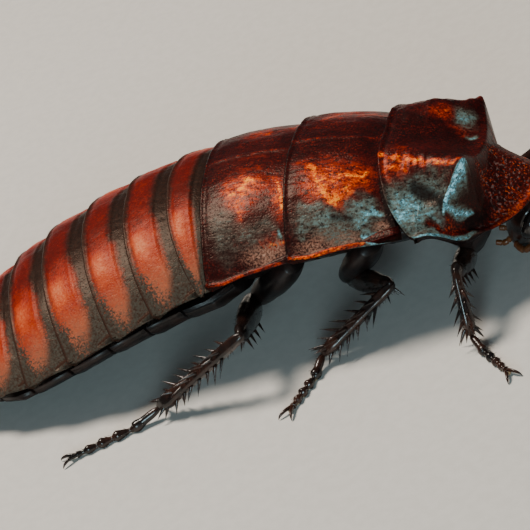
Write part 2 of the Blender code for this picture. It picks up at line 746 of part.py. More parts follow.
def claws(joints, size, finish, extras):
    """Two hooked claws that spread from the end of the foot."""
    end = tarsus_path(joints, size)[-2]
    ahead = unit((np.array([*joints["toe"], 0.0]) - joints["ankle"]) * [1, 1, 0])
    across = np.cross(UP, ahead)
    for turn in (-1, 1):
        path = [
            end,
            end + ahead * 0.8 + across * turn * 0.32 + UP * 0.12,
            end + ahead * 1.4 + across * turn * 0.62 - UP * 0.04,
            end + ahead * 1.65 + across * turn * 0.75 - UP * 0.3,
        ]
        sizes = [0.2, 0.19, 0.14, 0.05]
        loft("claw", on_floor(tube_loops(path, sizes, sizes, UP, 4)), finish, extras)


def leg(place, joints, sizes, dark, black, collection):
    """Coxa, femur, tibia and tarsus, each hollowed where the next joint sits in it."""
    coxa = loft(f"coxa_{place}", coxa_loops(joints, sizes["coxa"]), dark, collection)
    femur = loft(f"femur_{place}", femur_loops(joints, sizes["femur"]), black, collection)
    tibia = loft(f"tibia_{place}", tibia_loops(joints, sizes["tibia"]), black, collection)
    tarsus = loft(f"tarsus_{place}", tarsus_loops(joints, sizes["tarsus"]), black, collection)

    cutters = helper_collection("coxa_cutters")
    loft("femur_room", femur_loops(joints, sizes["femur"], GAP), dark, cutters)
    thorax_blocks(GAP, dark, cutters)
    combine(coxa, cutters, "DIFFERENCE", dark)
    cutters = helper_collection("tibia_cutters")
    loft("femur_room", femur_loops(joints, sizes["femur"], GAP), dark, cutters)
    loft("tarsus_room", tarsus_loops(joints, sizes["tarsus"], GAP), dark, cutters)
    combine(tibia, cutters, "DIFFERENCE", black)

    extras = helper_collection("femur_thorns")
    femur_thorns(joints, sizes["femur"], black, extras)
    combine(femur, extras, "UNION", black)
    extras = helper_collection("tibia_thorns")
    tibia_thorns(joints, sizes["tibia"], sizes["thorns"], black, extras)
    combine(tibia, extras, "UNION", black)
    extras = helper_collection("tarsus_claws")
    claws(joints, sizes["tarsus"], black, extras)
    combine(tarsus, extras, "UNION", black)


def set_origin():
    """Puts the origin on the floor below the middle of the box round the animal."""
    bpy.context.view_layer.update()
    graph = bpy.context.evaluated_depsgraph_get()
    nodes = [made for made in bpy.context.scene.objects if made.type in ("MESH", "CURVE")]
    ends = []
    for made in nodes:
        evaluated = made.evaluated_get(graph)
        places = np.array([vertex.co for vertex in evaluated.to_mesh().vertices])
        evaluated.to_mesh_clear()
        ends += [places.min(axis=0), places.max(axis=0)]
    low, high = np.min(ends, axis=0), np.max(ends, axis=0)
    for made in nodes:
        made.location = (-(low[0] + high[0]) / 2, -(low[1] + high[1]) / 2, -low[2])


def main():
    for old in list(bpy.data.objects):
        bpy.data.objects.remove(old)
    collection = helper_collection("hissing_cockroach")
    brown = material("thorax_brown", BROWN, 0.3)
    red = material("abdomen_red", RED, 0.4)
    dark = material("underside_dark", DARK, 0.45)
    black = material("leg_black", BLACK, 0.3)
    eyes = material("eye_black", BLACK, 0.12)

    pronotum(brown, collection)
    shares = np.sin(np.linspace(-1, 1, 19) * np.pi / 2) * 0.5 + np.linspace(-1, 1, 19) * 0.5
    for index in range(1, len(PLATES)):
        thorax = index < 3
        arch_plate(index, brown if thorax else red, collection, shares, 1.0 if thorax else 0.0)
    supra_anal_plate(red, collection)
    undersides(dark, collection)

    head(dark, collection)
    neck(dark, collection)
    for side in (-1, 1):
        eye(side, eyes, collection)
        antenna(side, dark, collection)
        palp(side, dark, collection)
        cercus(side, dark, collection)

    for name, places in LEG_PLACES.items():
        joints = dict(zip(LEG_JOINTS, places))
        leg(name, joints, LEG_SIZES[name.split("_")[0]], dark, black, collection)
    set_origin()


main()
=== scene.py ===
# Madagascar hissing cockroach, adult male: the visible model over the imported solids, and its studio
# Shapes are worked out in millimetres in the animal's own frame, forwards along +X with its left at +Y,
# and finishPiece() puts them where the solids are
import math

import bpy
import numpy as np
from mathutils import Matrix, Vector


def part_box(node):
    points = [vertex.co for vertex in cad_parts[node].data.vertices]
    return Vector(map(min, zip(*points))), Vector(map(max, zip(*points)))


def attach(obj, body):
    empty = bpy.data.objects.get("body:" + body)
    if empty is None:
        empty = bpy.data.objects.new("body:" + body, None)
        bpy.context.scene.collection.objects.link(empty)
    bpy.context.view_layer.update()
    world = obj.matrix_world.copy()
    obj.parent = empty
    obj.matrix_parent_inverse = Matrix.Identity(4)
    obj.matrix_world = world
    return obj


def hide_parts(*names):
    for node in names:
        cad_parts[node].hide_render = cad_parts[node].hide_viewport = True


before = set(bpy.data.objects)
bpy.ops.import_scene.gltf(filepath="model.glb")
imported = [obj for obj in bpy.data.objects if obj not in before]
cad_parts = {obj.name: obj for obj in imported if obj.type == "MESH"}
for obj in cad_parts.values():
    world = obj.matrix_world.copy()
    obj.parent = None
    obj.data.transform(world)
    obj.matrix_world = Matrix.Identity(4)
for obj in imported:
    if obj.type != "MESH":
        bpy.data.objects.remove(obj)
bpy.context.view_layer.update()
print("stage: packed solids loaded,", len(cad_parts), "nodes")


# Curves and noise

def riseBetween(low, high, value):
    # 3t^2 - 2t^3 of the share of the way from low to high
    share = np.clip((np.asarray(value, float) - low) / (high - low), 0, 1)
    return share * share * (3 - 2 * share)


def curveThrough(at, stops, values):
    # A cubic between each pair of stops, its slope at a stop taken from the stops on both sides
    at, stops, values = np.asarray(at, float), np.asarray(stops, float), np.asarray(values, float)
    slopes = np.gradient(values, stops, axis=0)
    k = np.clip(np.searchsorted(stops, at, side="right") - 1, 0, len(stops) - 2)
    gap = stops[k + 1] - stops[k]
    t = np.clip((at - stops[k]) / gap, 0, 1)
    if values.ndim > 1:
        gap, t = gap[..., None], t[..., None]
    start = (1 + 2 * t) * (1 - t) ** 2 * values[k] + t * (1 - t) ** 2 * gap * slopes[k]
    return start + t * t * (3 - 2 * t) * values[k + 1] - t * t * (1 - t) * gap * slopes[k + 1]


def bump(value, middle, reach):
    # A bell: e to the minus square of the distance from the middle in reaches
    return np.exp(-(((value - middle) / reach) ** 2))


def softNoise(points, size, salt=0.0):
    # Values from -1 to 1 at the corners of cubes of this size, blended with 3t^2 - 2t^3 along each axis
    places = np.asarray(points, float) / size
    corner = np.floor(places)
    blend = places - corner
    blend = blend * blend * (3 - 2 * blend)
    total = np.zeros(places.shape[:-1])
    for step in np.ndindex(2, 2, 2):
        mixed = (corner + step) @ np.array([127.1, 311.7, 74.7]) + salt * 53.3
        value = np.sin(mixed) * 43758.5453
        weight = np.prod(np.where(np.array(step) == 1, blend, 1 - blend), axis=-1)
        total += weight * (value - np.floor(value))
    return 2 * total - 1


def layeredNoise(points, size, layers=3, salt=0.0):
    # Noise added to itself at half the size and half the height, layer by layer
    return sum(softNoise(points, size / 2**k, salt + k) / 2**k for k in range(layers))


def creases(points, size, salt=0.0):
    # Narrow ridges where noise crosses zero: 1 minus its absolute value, squared
    return (1 - np.abs(softNoise(points, size, salt))) ** 2


def stack(*columns):
    return np.stack(np.broadcast_arrays(*columns), -1)


def unit(vector):
    vector = np.asarray(vector, float)
    return vector / np.linalg.norm(vector, axis=-1, keepdims=True)


# Body surface. Distances run back along the body from just ahead of the shield

body = {
    # The pronotum, two more thorax plates and seven tergites
    "rearEdge": [15.6, 23.9, 32.4, 36.2, 41.0, 45.8, 50.8, 55.6, 60.0, 63.6],
    "sweep": [-2.6, 0.4, 1.0, -1.7, -0.8, -0.3, 0.1, 0.5, 1.0, 1.5],  # how far each edge's corners run back
    "tailEnd": 66.6,
    "shieldRearHalfWidth": 10.7,
    "plateExtra": 0.15,  # how far a plate reaches past the body's half width
    "widthAt": [0, 3, 8, 12, 15.6, 20, 24, 32, 36, 40, 45, 50, 54, 58, 62, 66.6],
    "halfWidth": [0.5, 7, 10, 10.7, 10.5, 11.3, 11.7, 12.2, 12.3, 12.5, 12.7, 12.6, 12.2, 11.4, 9.6, 6],
    "heightAt": [0, 4, 8, 12, 15.6, 20, 24, 32, 36, 45, 50, 54, 58, 62, 66.6],
    "archHeight": [0.8, 2.0, 3.9, 4.8, 5.2, 5.6, 5.9, 6.2, 6.3, 6.3, 6.1, 5.6, 4.8, 3.6, 2.0],
    "archPower": 2.3,
    "pitchAt": [0, 8, 14, 20, 28, 34, 40, 50, 57, 65],
    "pitch": [-9.9, -9.4, -7.9, -1.0, 5.0, 7.4, 11.4, 15.0, 12.0, 5.0],
    "bendFrom": 27.0, "bendTo": 47.0, "bend": 11.0,  # the tail's bend to the right, in degrees
    "marginHeight": 10.8, "heightStation": 24.0, "middleStation": 28.0,
    "overlap": 1.0, "gap": 0.3,
    "plateFloor": -1.0, "undersideTop": -1.3,
    "lipRoot": 0.55, "lipDrop": 0.17, "sink": 0.9, "sinkAtEdge": 0.68,
    "trunkHalfWidth": 7.6, "trunkDepth": 4.3, "sideWall": 0.55,
    "thoraxJoins": [8.9, 15.6, 23.5, 31.4],
    "bellyJoins": [31.4, 37.6, 42.4, 47.2, 52.0, 56.4, 60.2, 65.0],
}

stations = np.linspace(-5, 72, 771)


def softenedLine(values):
    # A running mean over 41 stations, 4 mm
    return np.convolve(np.pad(values, 20, mode="edge"), np.ones(41) / 41, "valid")


pitches = np.radians(softenedLine(np.interp(stations, body["pitchAt"], body["pitch"])))
bendShare = np.clip((stations - body["bendFrom"]) / (body["bendTo"] - body["bendFrom"]), 0, 1)
yaws = np.radians(softenedLine(body["bend"] * bendShare))


def runAlong(rate):
    # Running total of a rate over the stations, by the trapezium rule
    return np.concatenate([[0], np.cumsum((rate[1:] + rate[:-1]) / 2 * np.diff(stations))])


axisX = -runAlong(np.cos(pitches) * np.cos(yaws))
axisY = -runAlong(np.cos(pitches) * np.sin(yaws))
axisZ = -runAlong(np.sin(pitches))
axisX -= np.interp(body["middleStation"], stations, axisX)
axisZ += body["marginHeight"] - np.interp(body["heightStation"], stations, axisZ)


def bodyPoint(along, across, height):
    # The axis at this distance, plus across to the left and height square to the axis
    along, across, height = np.broadcast_arrays(*map(np.asarray, (along, across, height)))
    pitch, yaw = np.interp(along, stations, pitches), np.interp(along, stations, yaws)
    lean = np.sin(pitch) * height
    x = np.interp(along, stations, axisX) - np.cos(yaw) * lean - np.sin(yaw) * across
    y = np.interp(along, stations, axisY) - np.sin(yaw) * lean + np.cos(yaw) * across
    z = np.interp(along, stations, axisZ) + np.cos(pitch) * height
    return np.stack([x, y, z], -1)


def halfWidth(along):
    return np.interp(along, body["widthAt"], body["halfWidth"])


def backHeight(along, across):
    # Arch height times 1 minus the power of the share of the half width
    share = np.clip(np.abs(across) / halfWidth(along), 0, 1)
    return np.interp(along, body["heightAt"], body["archHeight"]) * (1 - share ** body["archPower"])


def rearEdge(index, share):
    power = 4 if index == 0 else 3
    return body["rearEdge"][index] + body["sweep"][index] * np.abs(share) ** power


def lipOverlap(share):
    return body["overlap"] * (1 - 0.45 * np.abs(share) ** 4)


def plateHalfWidth(index):
    if index == 0:
        return body["shieldRearHalfWidth"]
    return halfWidth(body["rearEdge"][index]) + body["plateExtra"]


# Making pieces. A part of a piece is a dictionary of its points, its faces and its masks

def ringPart(rings, masks=None, closeEnds=True):
    # Quads between neighbouring rings and round each, and a fan from each end ring to its middle
    rings = np.asarray(rings, float)
    count, size = rings.shape[:2]
    start = np.arange(count - 1)[:, None] * size
    here, after = np.arange(size)[None, :], (np.arange(size)[None, :] + 1) % size
    quads = np.stack([start + here, start + after, start + size + after, start + size + here], -1)
    points = rings.reshape(-1, 3)
    quads, fans = quads.reshape(-1, 4), np.zeros((0, 3), int)
    if closeEnds:
        first, last = count * size, count * size + 1
        points = np.concatenate([points, rings[:1].mean(axis=1), rings[-1:].mean(axis=1)])
        turn = np.stack([after[0], here[0], np.full(size, first)], -1)
        turnEnd = (count - 1) * size + np.stack([here[0], after[0]], -1)
        fans = np.concatenate([turn, np.column_stack([turnEnd, np.full(size, last)])])
    kept = {}
    for name, values in (masks or {}).items():
        values = np.broadcast_to(values, (count, size)).astype(float)
        ends = [values[0].mean(), values[-1].mean()] if closeEnds else []
        kept[name] = np.concatenate([values.reshape(-1), ends])
    part = {"points": points, "quads": quads, "fans": fans, "masks": kept}
    if signedVolume(part) < 0:
        part["quads"], part["fans"] = quads[:, ::-1], fans[:, ::-1]
    return part


def signedVolume(part):
    # A sixth of the triple product of every triangle, positive where faces point outwards
    points, quads = part["points"], part["quads"]
    triangles = np.concatenate([quads[:, [0, 1, 2]], quads[:, [0, 2, 3]], part["fans"]])
    corners = points[triangles] - points.mean(axis=0)
    return np.einsum("ij,ij->i", corners[:, 0], np.cross(corners[:, 1], corners[:, 2])).sum() / 6


def tubeRings(path, heights, widths, up=(0, 0, 1), sides=24):
    # Ellipses square to the path: cos of the angle towards its top, sin towards its side
    path = np.asarray(path, float)
    tangents = unit(np.gradient(path, axis=0))
    side = unit(np.cross(tangents, np.asarray(up, float)))
    top = np.cross(side, tangents)
    angles = np.arange(sides) * 2 * np.pi / sides
    heights, widths = np.broadcast_arrays(np.asarray(heights, float), np.asarray(widths, float))
    heights, widths = np.broadcast_to(heights, len(path)), np.broadcast_to(widths, len(path))
    upward = top[:, None, :] * (np.cos(angles)[None, :] * heights[:, None])[..., None]
    sideways = side[:, None, :] * (np.sin(angles)[None, :] * widths[:, None])[..., None]
    return path[:, None, :] + upward + sideways


def coneParts(roots, aims, lengths, radii, bend=0.08, sides=6, steps=4):
    # Many curved cones at once: rings shrink as 1 - t^1.3 while the middle line drops by bend t^2
    roots, aims = np.asarray(roots, float), unit(aims)
    lengths, radii = np.asarray(lengths, float), np.asarray(radii, float)
    helper = np.where(np.abs(aims[:, 2:3]) < 0.9, [[0.0, 0.0, 1.0]], [[1.0, 0.0, 0.0]])
    side = unit(np.cross(aims, helper))
    top = np.cross(side, aims)
    t = np.linspace(0, 1, steps)
    angles = np.arange(sides) * 2 * np.pi / sides
    size = np.maximum(1 - t**1.3, 0.06)
    middle = roots[:, None] + aims[:, None] * (lengths[:, None] * t)[..., None]
    middle[..., 2] -= lengths[:, None] * bend * t**2
    around = np.cos(angles)[None, :, None] * top[:, None] + np.sin(angles)[None, :, None] * side[:, None]
    rings = middle[:, :, None] + around[:, None] * (radii[:, None] * size)[..., None, None]
    return [ringPart(ring) for ring in rings]


materials = {}


def finishPiece(name, parts, finish, nodes=(), slotName=None, sharpAngle=None):
    # Joins the parts into one mesh at its place in metres, which stands for its nodes
    points = np.concatenate([part["points"] for part in parts]) + bodyShift
    offsets = np.cumsum([0] + [len(part["points"]) for part in parts])
    quads = np.concatenate([part["quads"] + shift for part, shift in zip(parts, offsets)])
    fans = np.concatenate([part["fans"] + shift for part, shift in zip(parts, offsets)])
    mesh = bpy.data.meshes.new(name)
    mesh.vertices.add(len(points))
    mesh.vertices.foreach_set("co", (points * 0.001).ravel())
    corners = np.concatenate([quads.ravel(), fans.ravel()]).astype(np.int32)
    mesh.loops.add(len(corners))
    mesh.loops.foreach_set("vertex_index", corners)
    starts = np.concatenate([np.arange(len(quads)) * 4, len(quads) * 4 + np.arange(len(fans)) * 3])
    mesh.polygons.add(len(starts))
    mesh.polygons.foreach_set("loop_start", starts.astype(np.int32))
    mesh.polygons.foreach_set("use_smooth", np.ones(len(starts), bool))
    mesh.update(calc_edges=True)
    mesh.validate()
    for mask in sorted({key for part in parts for key in part["masks"]}):
        values = [part["masks"].get(mask, np.zeros(len(part["points"]))) for part in parts]
        mesh.attributes.new(mask, "FLOAT", "POINT").data.foreach_set("value", np.concatenate(values))
    if sharpAngle:
        mesh.set_sharp_from_angle(angle=math.radians(sharpAngle))
    mesh.materials.append(materials[finish])
    piece = bpy.data.objects.new(name, mesh)
    bpy.context.scene.collection.objects.link(piece)
    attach(piece, "root")
    if nodes:
        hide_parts(*nodes)
    return piece


def patches(along, side, spots):
    # The strongest of several ovals, each 1 at its middle and e^-1 at its two reaches
    value = np.zeros(np.broadcast(along, side).shape)
    for at, out, reachAlong, reachAcross, strength in spots:
        oval = np.exp(-(((along - at) / reachAlong) ** 2 + ((side - out) / reachAcross) ** 2))
        value = np.maximum(value, strength * oval)
    return value


def wander(along, across, size=0.9, reach=0.35):
    # Places shifted by noise, so that marks drawn on them get uneven outlines
    flat = stack(along, across, 0 * along)
    markAt = along + reach * layeredNoise(flat, size, 3, 81)
    markOut = np.abs(across) + reach * layeredNoise(flat, size, 3, 91)
    return markAt, markOut


def strokes(along, side, lines):
    # The strongest of several brush strokes, each a bell of the distance to a line through its points
    value = np.zeros(np.broadcast(along, side).shape)
    for spots, reach, strength in lines:
        for (at, out), (nextAt, nextOut) in zip(spots, spots[1:]):
            stepAt, stepOut = nextAt - at, nextOut - out
            share = ((along - at) * stepAt + (side - out) * stepOut) / (stepAt**2 + stepOut**2)
            share = np.clip(share, 0, 1)
            away = (along - at - share * stepAt) ** 2 + (side - out - share * stepOut) ** 2
            value = np.maximum(value, strength * np.exp(-away / reach**2))
    return value


# The shield over the head

shield = {
    "halfWidth": 10.45,
    "valleyDepth": 0.5,  # between the knobs
    "hollowDepth": 0.7, "pitDepth": 0.8,  # before each knob, and on the flank behind it
    "crestAt": [5, 7.3, 14], "crestOut": [5.7, 5.7, 3.9],
    "crestReachAt": [5, 9, 15], "crestReach": [1.9, 2.1, 2.4],
    "hookRidge": [([(7.5, 5.9), (8.2, 6.9), (9.2, 8.0), (8.6, 8.3), (7.6, 8.0)], 0.5, 1.0)],
    "hookHeight": 0.5,  # of the bent ridge outside and before each knob
    # The front edge in the middle, at the side, and how blunt
    "front": 2.0, "corner": 12.2, "roundness": 0.35,
    "rearRounding": 0.55, "solidFrontTip": 26.794,
    "ridgeAt": [0, 2, 5, 6.3, 7.5, 9.3, 12, 15.6],
    "ridge": [0.9, 1.2, 2.4, 3.0, 3.4, 4.1, 4.85, 5.2],  # the middle line of the raised part behind
    "noseAt": [0, 2, 3.5, 5, 6.3, 8, 12],
    "nose": [-1.0, -0.6, 0.45, 1.4, 2.4, 3.5, 4.2],  # the middle line of the low part in front
    "rimAt": [2.0, 2.6, 3.3, 4.2, 5.2, 6.4, 7.7, 8.7, 10.0, 12.0, 13.0],
    "rim": [-0.7, -1.8, -2.4, -2.8, -2.9, -2.95, -3.5, -3.55, -2.9, -0.8, -0.2],
    "archPower": 1.15,
    "knobAt": 7.2, "knobSide": 5.7, "knobSlant": 0.85, "knobBow": 0.7,
    "knobStops": [6.0, 7.2, 8.0, 9.5, 12.0, 15.0], "knobHeights": [1.6, 1.75, 1.9, 1.3, 0.8, 0.35],
    # A rise to the left, so a slight twist
    "tiltAt": [2.0, 7.0, 9.0, 12.0, 14.8], "tilt": [-0.1, -0.1, -0.05, 0.05, 0.0],
    "rimHeight": 0.20, "rimWidth": 0.26,
    "rows": 241, "columns": 150,
}


def shieldFront(share):
    # From the middle to the corner, between a parabola and an ellipse
    share = np.clip(np.abs(share), 0, 1)
    curve = (1 - shield["roundness"]) * share**2 + shield["roundness"] * (1 - np.sqrt(1 - share**2))
    return shield["front"] + (shield["corner"] - shield["front"]) * curve


def shieldRear(share):
    return rearEdge(0, share) - shield["rearRounding"] * np.abs(share) ** 9


def shieldTilt(along):
    return np.interp(along, shield["tiltAt"], shield["tilt"])


def frontSurface(along, across):
    # Falls from the nose line to the rim with a power of the share of the outline's width there
    shares = np.linspace(0, 1, 400)
    width = np.maximum(np.interp(along, shieldFront(shares), shares * shield["halfWidth"]), 0.1)
    nose = curveThrough(along, shield["noseAt"], shield["nose"])
    rim = curveThrough(along, shield["rimAt"], shield["rim"])
    share = np.clip(np.sqrt((np.abs(across) / width) ** 2 + 0.01) - 0.1, 0, 1)
    return nose - (nose - rim) * share ** shield["archPower"] + np.minimum(shieldTilt(along), 0) * across


def rearSurface(along, across):
    # Falls from the ridge line to nothing at the sides with the power 2.4
    share = np.clip(np.abs(across) / shield["halfWidth"], 0, 1)
    ridge = curveThrough(along, shield["ridgeAt"], shield["ridge"])
    return ridge * (1 - share**2.4) + shieldTilt(along) * across * (1 - share**4)


def shieldHeight(along, across):
    # The plain arch without its knobs, from the front surface to the rear one
    front, rear = frontSurface(along, across), rearSurface(along, across)
    return front + (rear - front) * riseBetween(7.5, 12.5, along)


def knobEdge(side):
    # How far back the raised part begins: bowed forwards in the middle, slanting back outside the crests
    inner = shield["knobBow"] * (1 - np.clip(side / shield["knobSide"], 0, 1) ** 2)
    return shield["knobAt"] - inner + shield["knobSlant"] * np.clip(side - shield["knobSide"], 0, 2.4)


def crestLine(along):
    # How far outside the middle line each knob's crest runs, converging towards the rear
    return np.interp(along, shield["crestAt"], shield["crestOut"])


def shieldTop(along, across):
    # A bell across each crest line on the rear surface, a step down to the front surface, ridges and pits
    side = np.abs(across)
    reach = np.interp(along, shield["crestReachAt"], shield["crestReach"])
    knobHeight = curveThrough(along, shield["knobStops"], shield["knobHeights"])
    raised = rearSurface(along, across) + knobHeight * bump(side, crestLine(along), reach)
    valleySpan = riseBetween(6.5, 8.5, along) * (1 - riseBetween(11.0, 14.5, along))
    raised = raised - shield["valleyDepth"] * bump(across, 0, 2.4) * valleySpan
    edge = knobEdge(side)
    step = riseBetween(edge - 0.3, edge + 0.35, along)
    step = step + (riseBetween(7.5, 12.5, along) - step) * riseBetween(7.7, 8.9, side)
    front = frontSurface(along, across)
    hollow = shield["hollowDepth"] * np.exp(-((side - 5.6) ** 2 / 3.0 + (along - 6.3) ** 2 / 0.9))
    ridge = shield["hookHeight"] * strokes(along, side, shield["hookRidge"])
    pit = shield["pitDepth"] * np.exp(-((side - 7.3) ** 2 / 1.5 + (along - 11.0) ** 2 / 4.0))
    return front + (raised - front) * step + ridge - pit - hollow


def shieldDetail(along, across, share):
    # A raised rim with a groove inside it, wrinkles on the flanks, grains in front and a rear bead
    side = np.abs(across)
    flat = stack(along, across, 0 * along)
    slope = np.gradient(shieldFront(share[:, 0]), share[:, 0] * shield["halfWidth"])
    slope = np.clip(slope, -6, 6)[:, None]
    toFront = (along - shieldFront(share)) / np.sqrt(1 + slope**2)
    toEdge = np.minimum(toFront, (shield["halfWidth"] - side) + 0.25)
    rim = shield["rimHeight"] * bump(toEdge, 0.1, shield["rimWidth"]) - 0.14 * bump(toEdge, 0.75, 0.33)
    toRear = shieldRear(share) - along
    rear = 0.07 * bump(toRear, 0.12, 0.14) - 0.06 * bump(toRear, 0.5, 0.2)
    flank = riseBetween(5.5, 7.5, side) * riseBetween(6.8, 8.0, along) * riseBetween(0.5, 1.4, toEdge)
    wrinkled = 0.11 * (creases(flat * [1.0, 0.55, 1], 0.55, 3) - 0.3) * flank
    onCrest = bump(side, crestLine(along) + 0.3, 1.2) * riseBetween(7.2, 8.0, along)
    notched = 0.10 * (creases(flat * [1.3, 0.8, 1], 0.8, 9) - 0.35) * onCrest
    grainSpan = riseBetween(7.6, 6.4, along)
    grains = 0.05 * np.maximum(softNoise(flat, 0.34, 5), 0) * grainSpan * riseBetween(0.3, 0.9, toEdge)
    broad = 0.09 * layeredNoise(flat, 2.2, 3, 11) * riseBetween(7.0, 8.5, along)
    return rim + rear + wrinkled + notched + grains + broad, toEdge


shieldMarks = {  # strokes as points (along, out), reach, strength; zones as middle, reaches, strength
    # Hot strokes and warm zones: painted highlights of the warm lamp along each knob's crest, on its
    # shoulders and on the far side
    "hotHighlightStrokes": [([(15.2, 4.1), (13.6, 4.3), (11.7, 4.9), (9.5, 5.5), (7.6, 5.8)], 0.34, 0.95),
                   ([(14.6, 4.9), (13.6, 5.3), (13.0, 5.2)], 0.5, 0.75),
                   ([(14.7, 5.7), (14.3, 6.5)], 0.5, 0.55)],
    "warmHighlightZones": [(13.9, 5.2, 1.7, 1.1, 0.6), (13.4, 3.4, 1.8, 1.0, 0.4), (11.5, 2.6, 3.0, 1.4, 0.22)],
    "farWarmHighlightZones": [(11.0, 3.0, 1.6, 0.9, 0.62), (9.4, 2.0, 1.4, 0.8, 0.5), (8.6, 1.0, 0.8, 0.5, 0.5)],
    # Foot strokes: a painted cyan highlight along the foot of each knob's front edge
    "footHighlightStrokes": [([(9.45, 8.1), (8.83, 7.68), (8.1, 7.0), (7.45, 6.4)], 0.09, 1.0)],
    "redStrokes": [([(11.2, 9.3), (9.8, 8.85), (8.4, 8.1), (7.3, 7.2), (6.2, 5.9)], 0.42, 0.9)],
    # Cool strokes and zones: painted highlights and reflections of the cool lamp on the knobs' front edges
    # and the flanks
    "coolHighlightStrokes": [([(7.45, 5.5), (7.75, 6.1), (8.33, 6.75), (8.88, 7.4), (9.42, 7.95), (9.7, 8.2)],
                     0.15, 1.2),
                    ([(13.4, 8.2), (11.8, 8.4), (10.8, 8.2)], 0.7, 0.72),
                    ([(12.9, 9.4), (11.4, 9.6)], 0.5, 0.62)],
    "coolReflectionZones": [(13.0, 8.4, 2.8, 2.0, 1.0), (11.2, 9.0, 2.6, 1.3, 0.95), (11.4, 6.4, 3.2, 0.9, 0.62),
                  (10.0, 7.4, 1.8, 1.6, 0.6)],
    "farCoolReflectionZones": [(9.0, 2.9, 1.2, 1.1, 0.8), (8.2, 0.6, 0.45, 0.7, 1.0)],
    # Dark strokes: painted shade in the pit on each flank, before each knob and in the groove inside the
    # rim
    "darkStrokes": [([(12.3, 6.6), (11.2, 7.0), (10.1, 7.5), (9.7, 8.0)], 0.55, 1.0),
                    ([(7.9, 7.3), (6.9, 6.4)], 0.6, 0.9),
                    ([(13.9, 9.6), (12.4, 9.9), (10.8, 9.6)], 0.2, 0.55)],
}


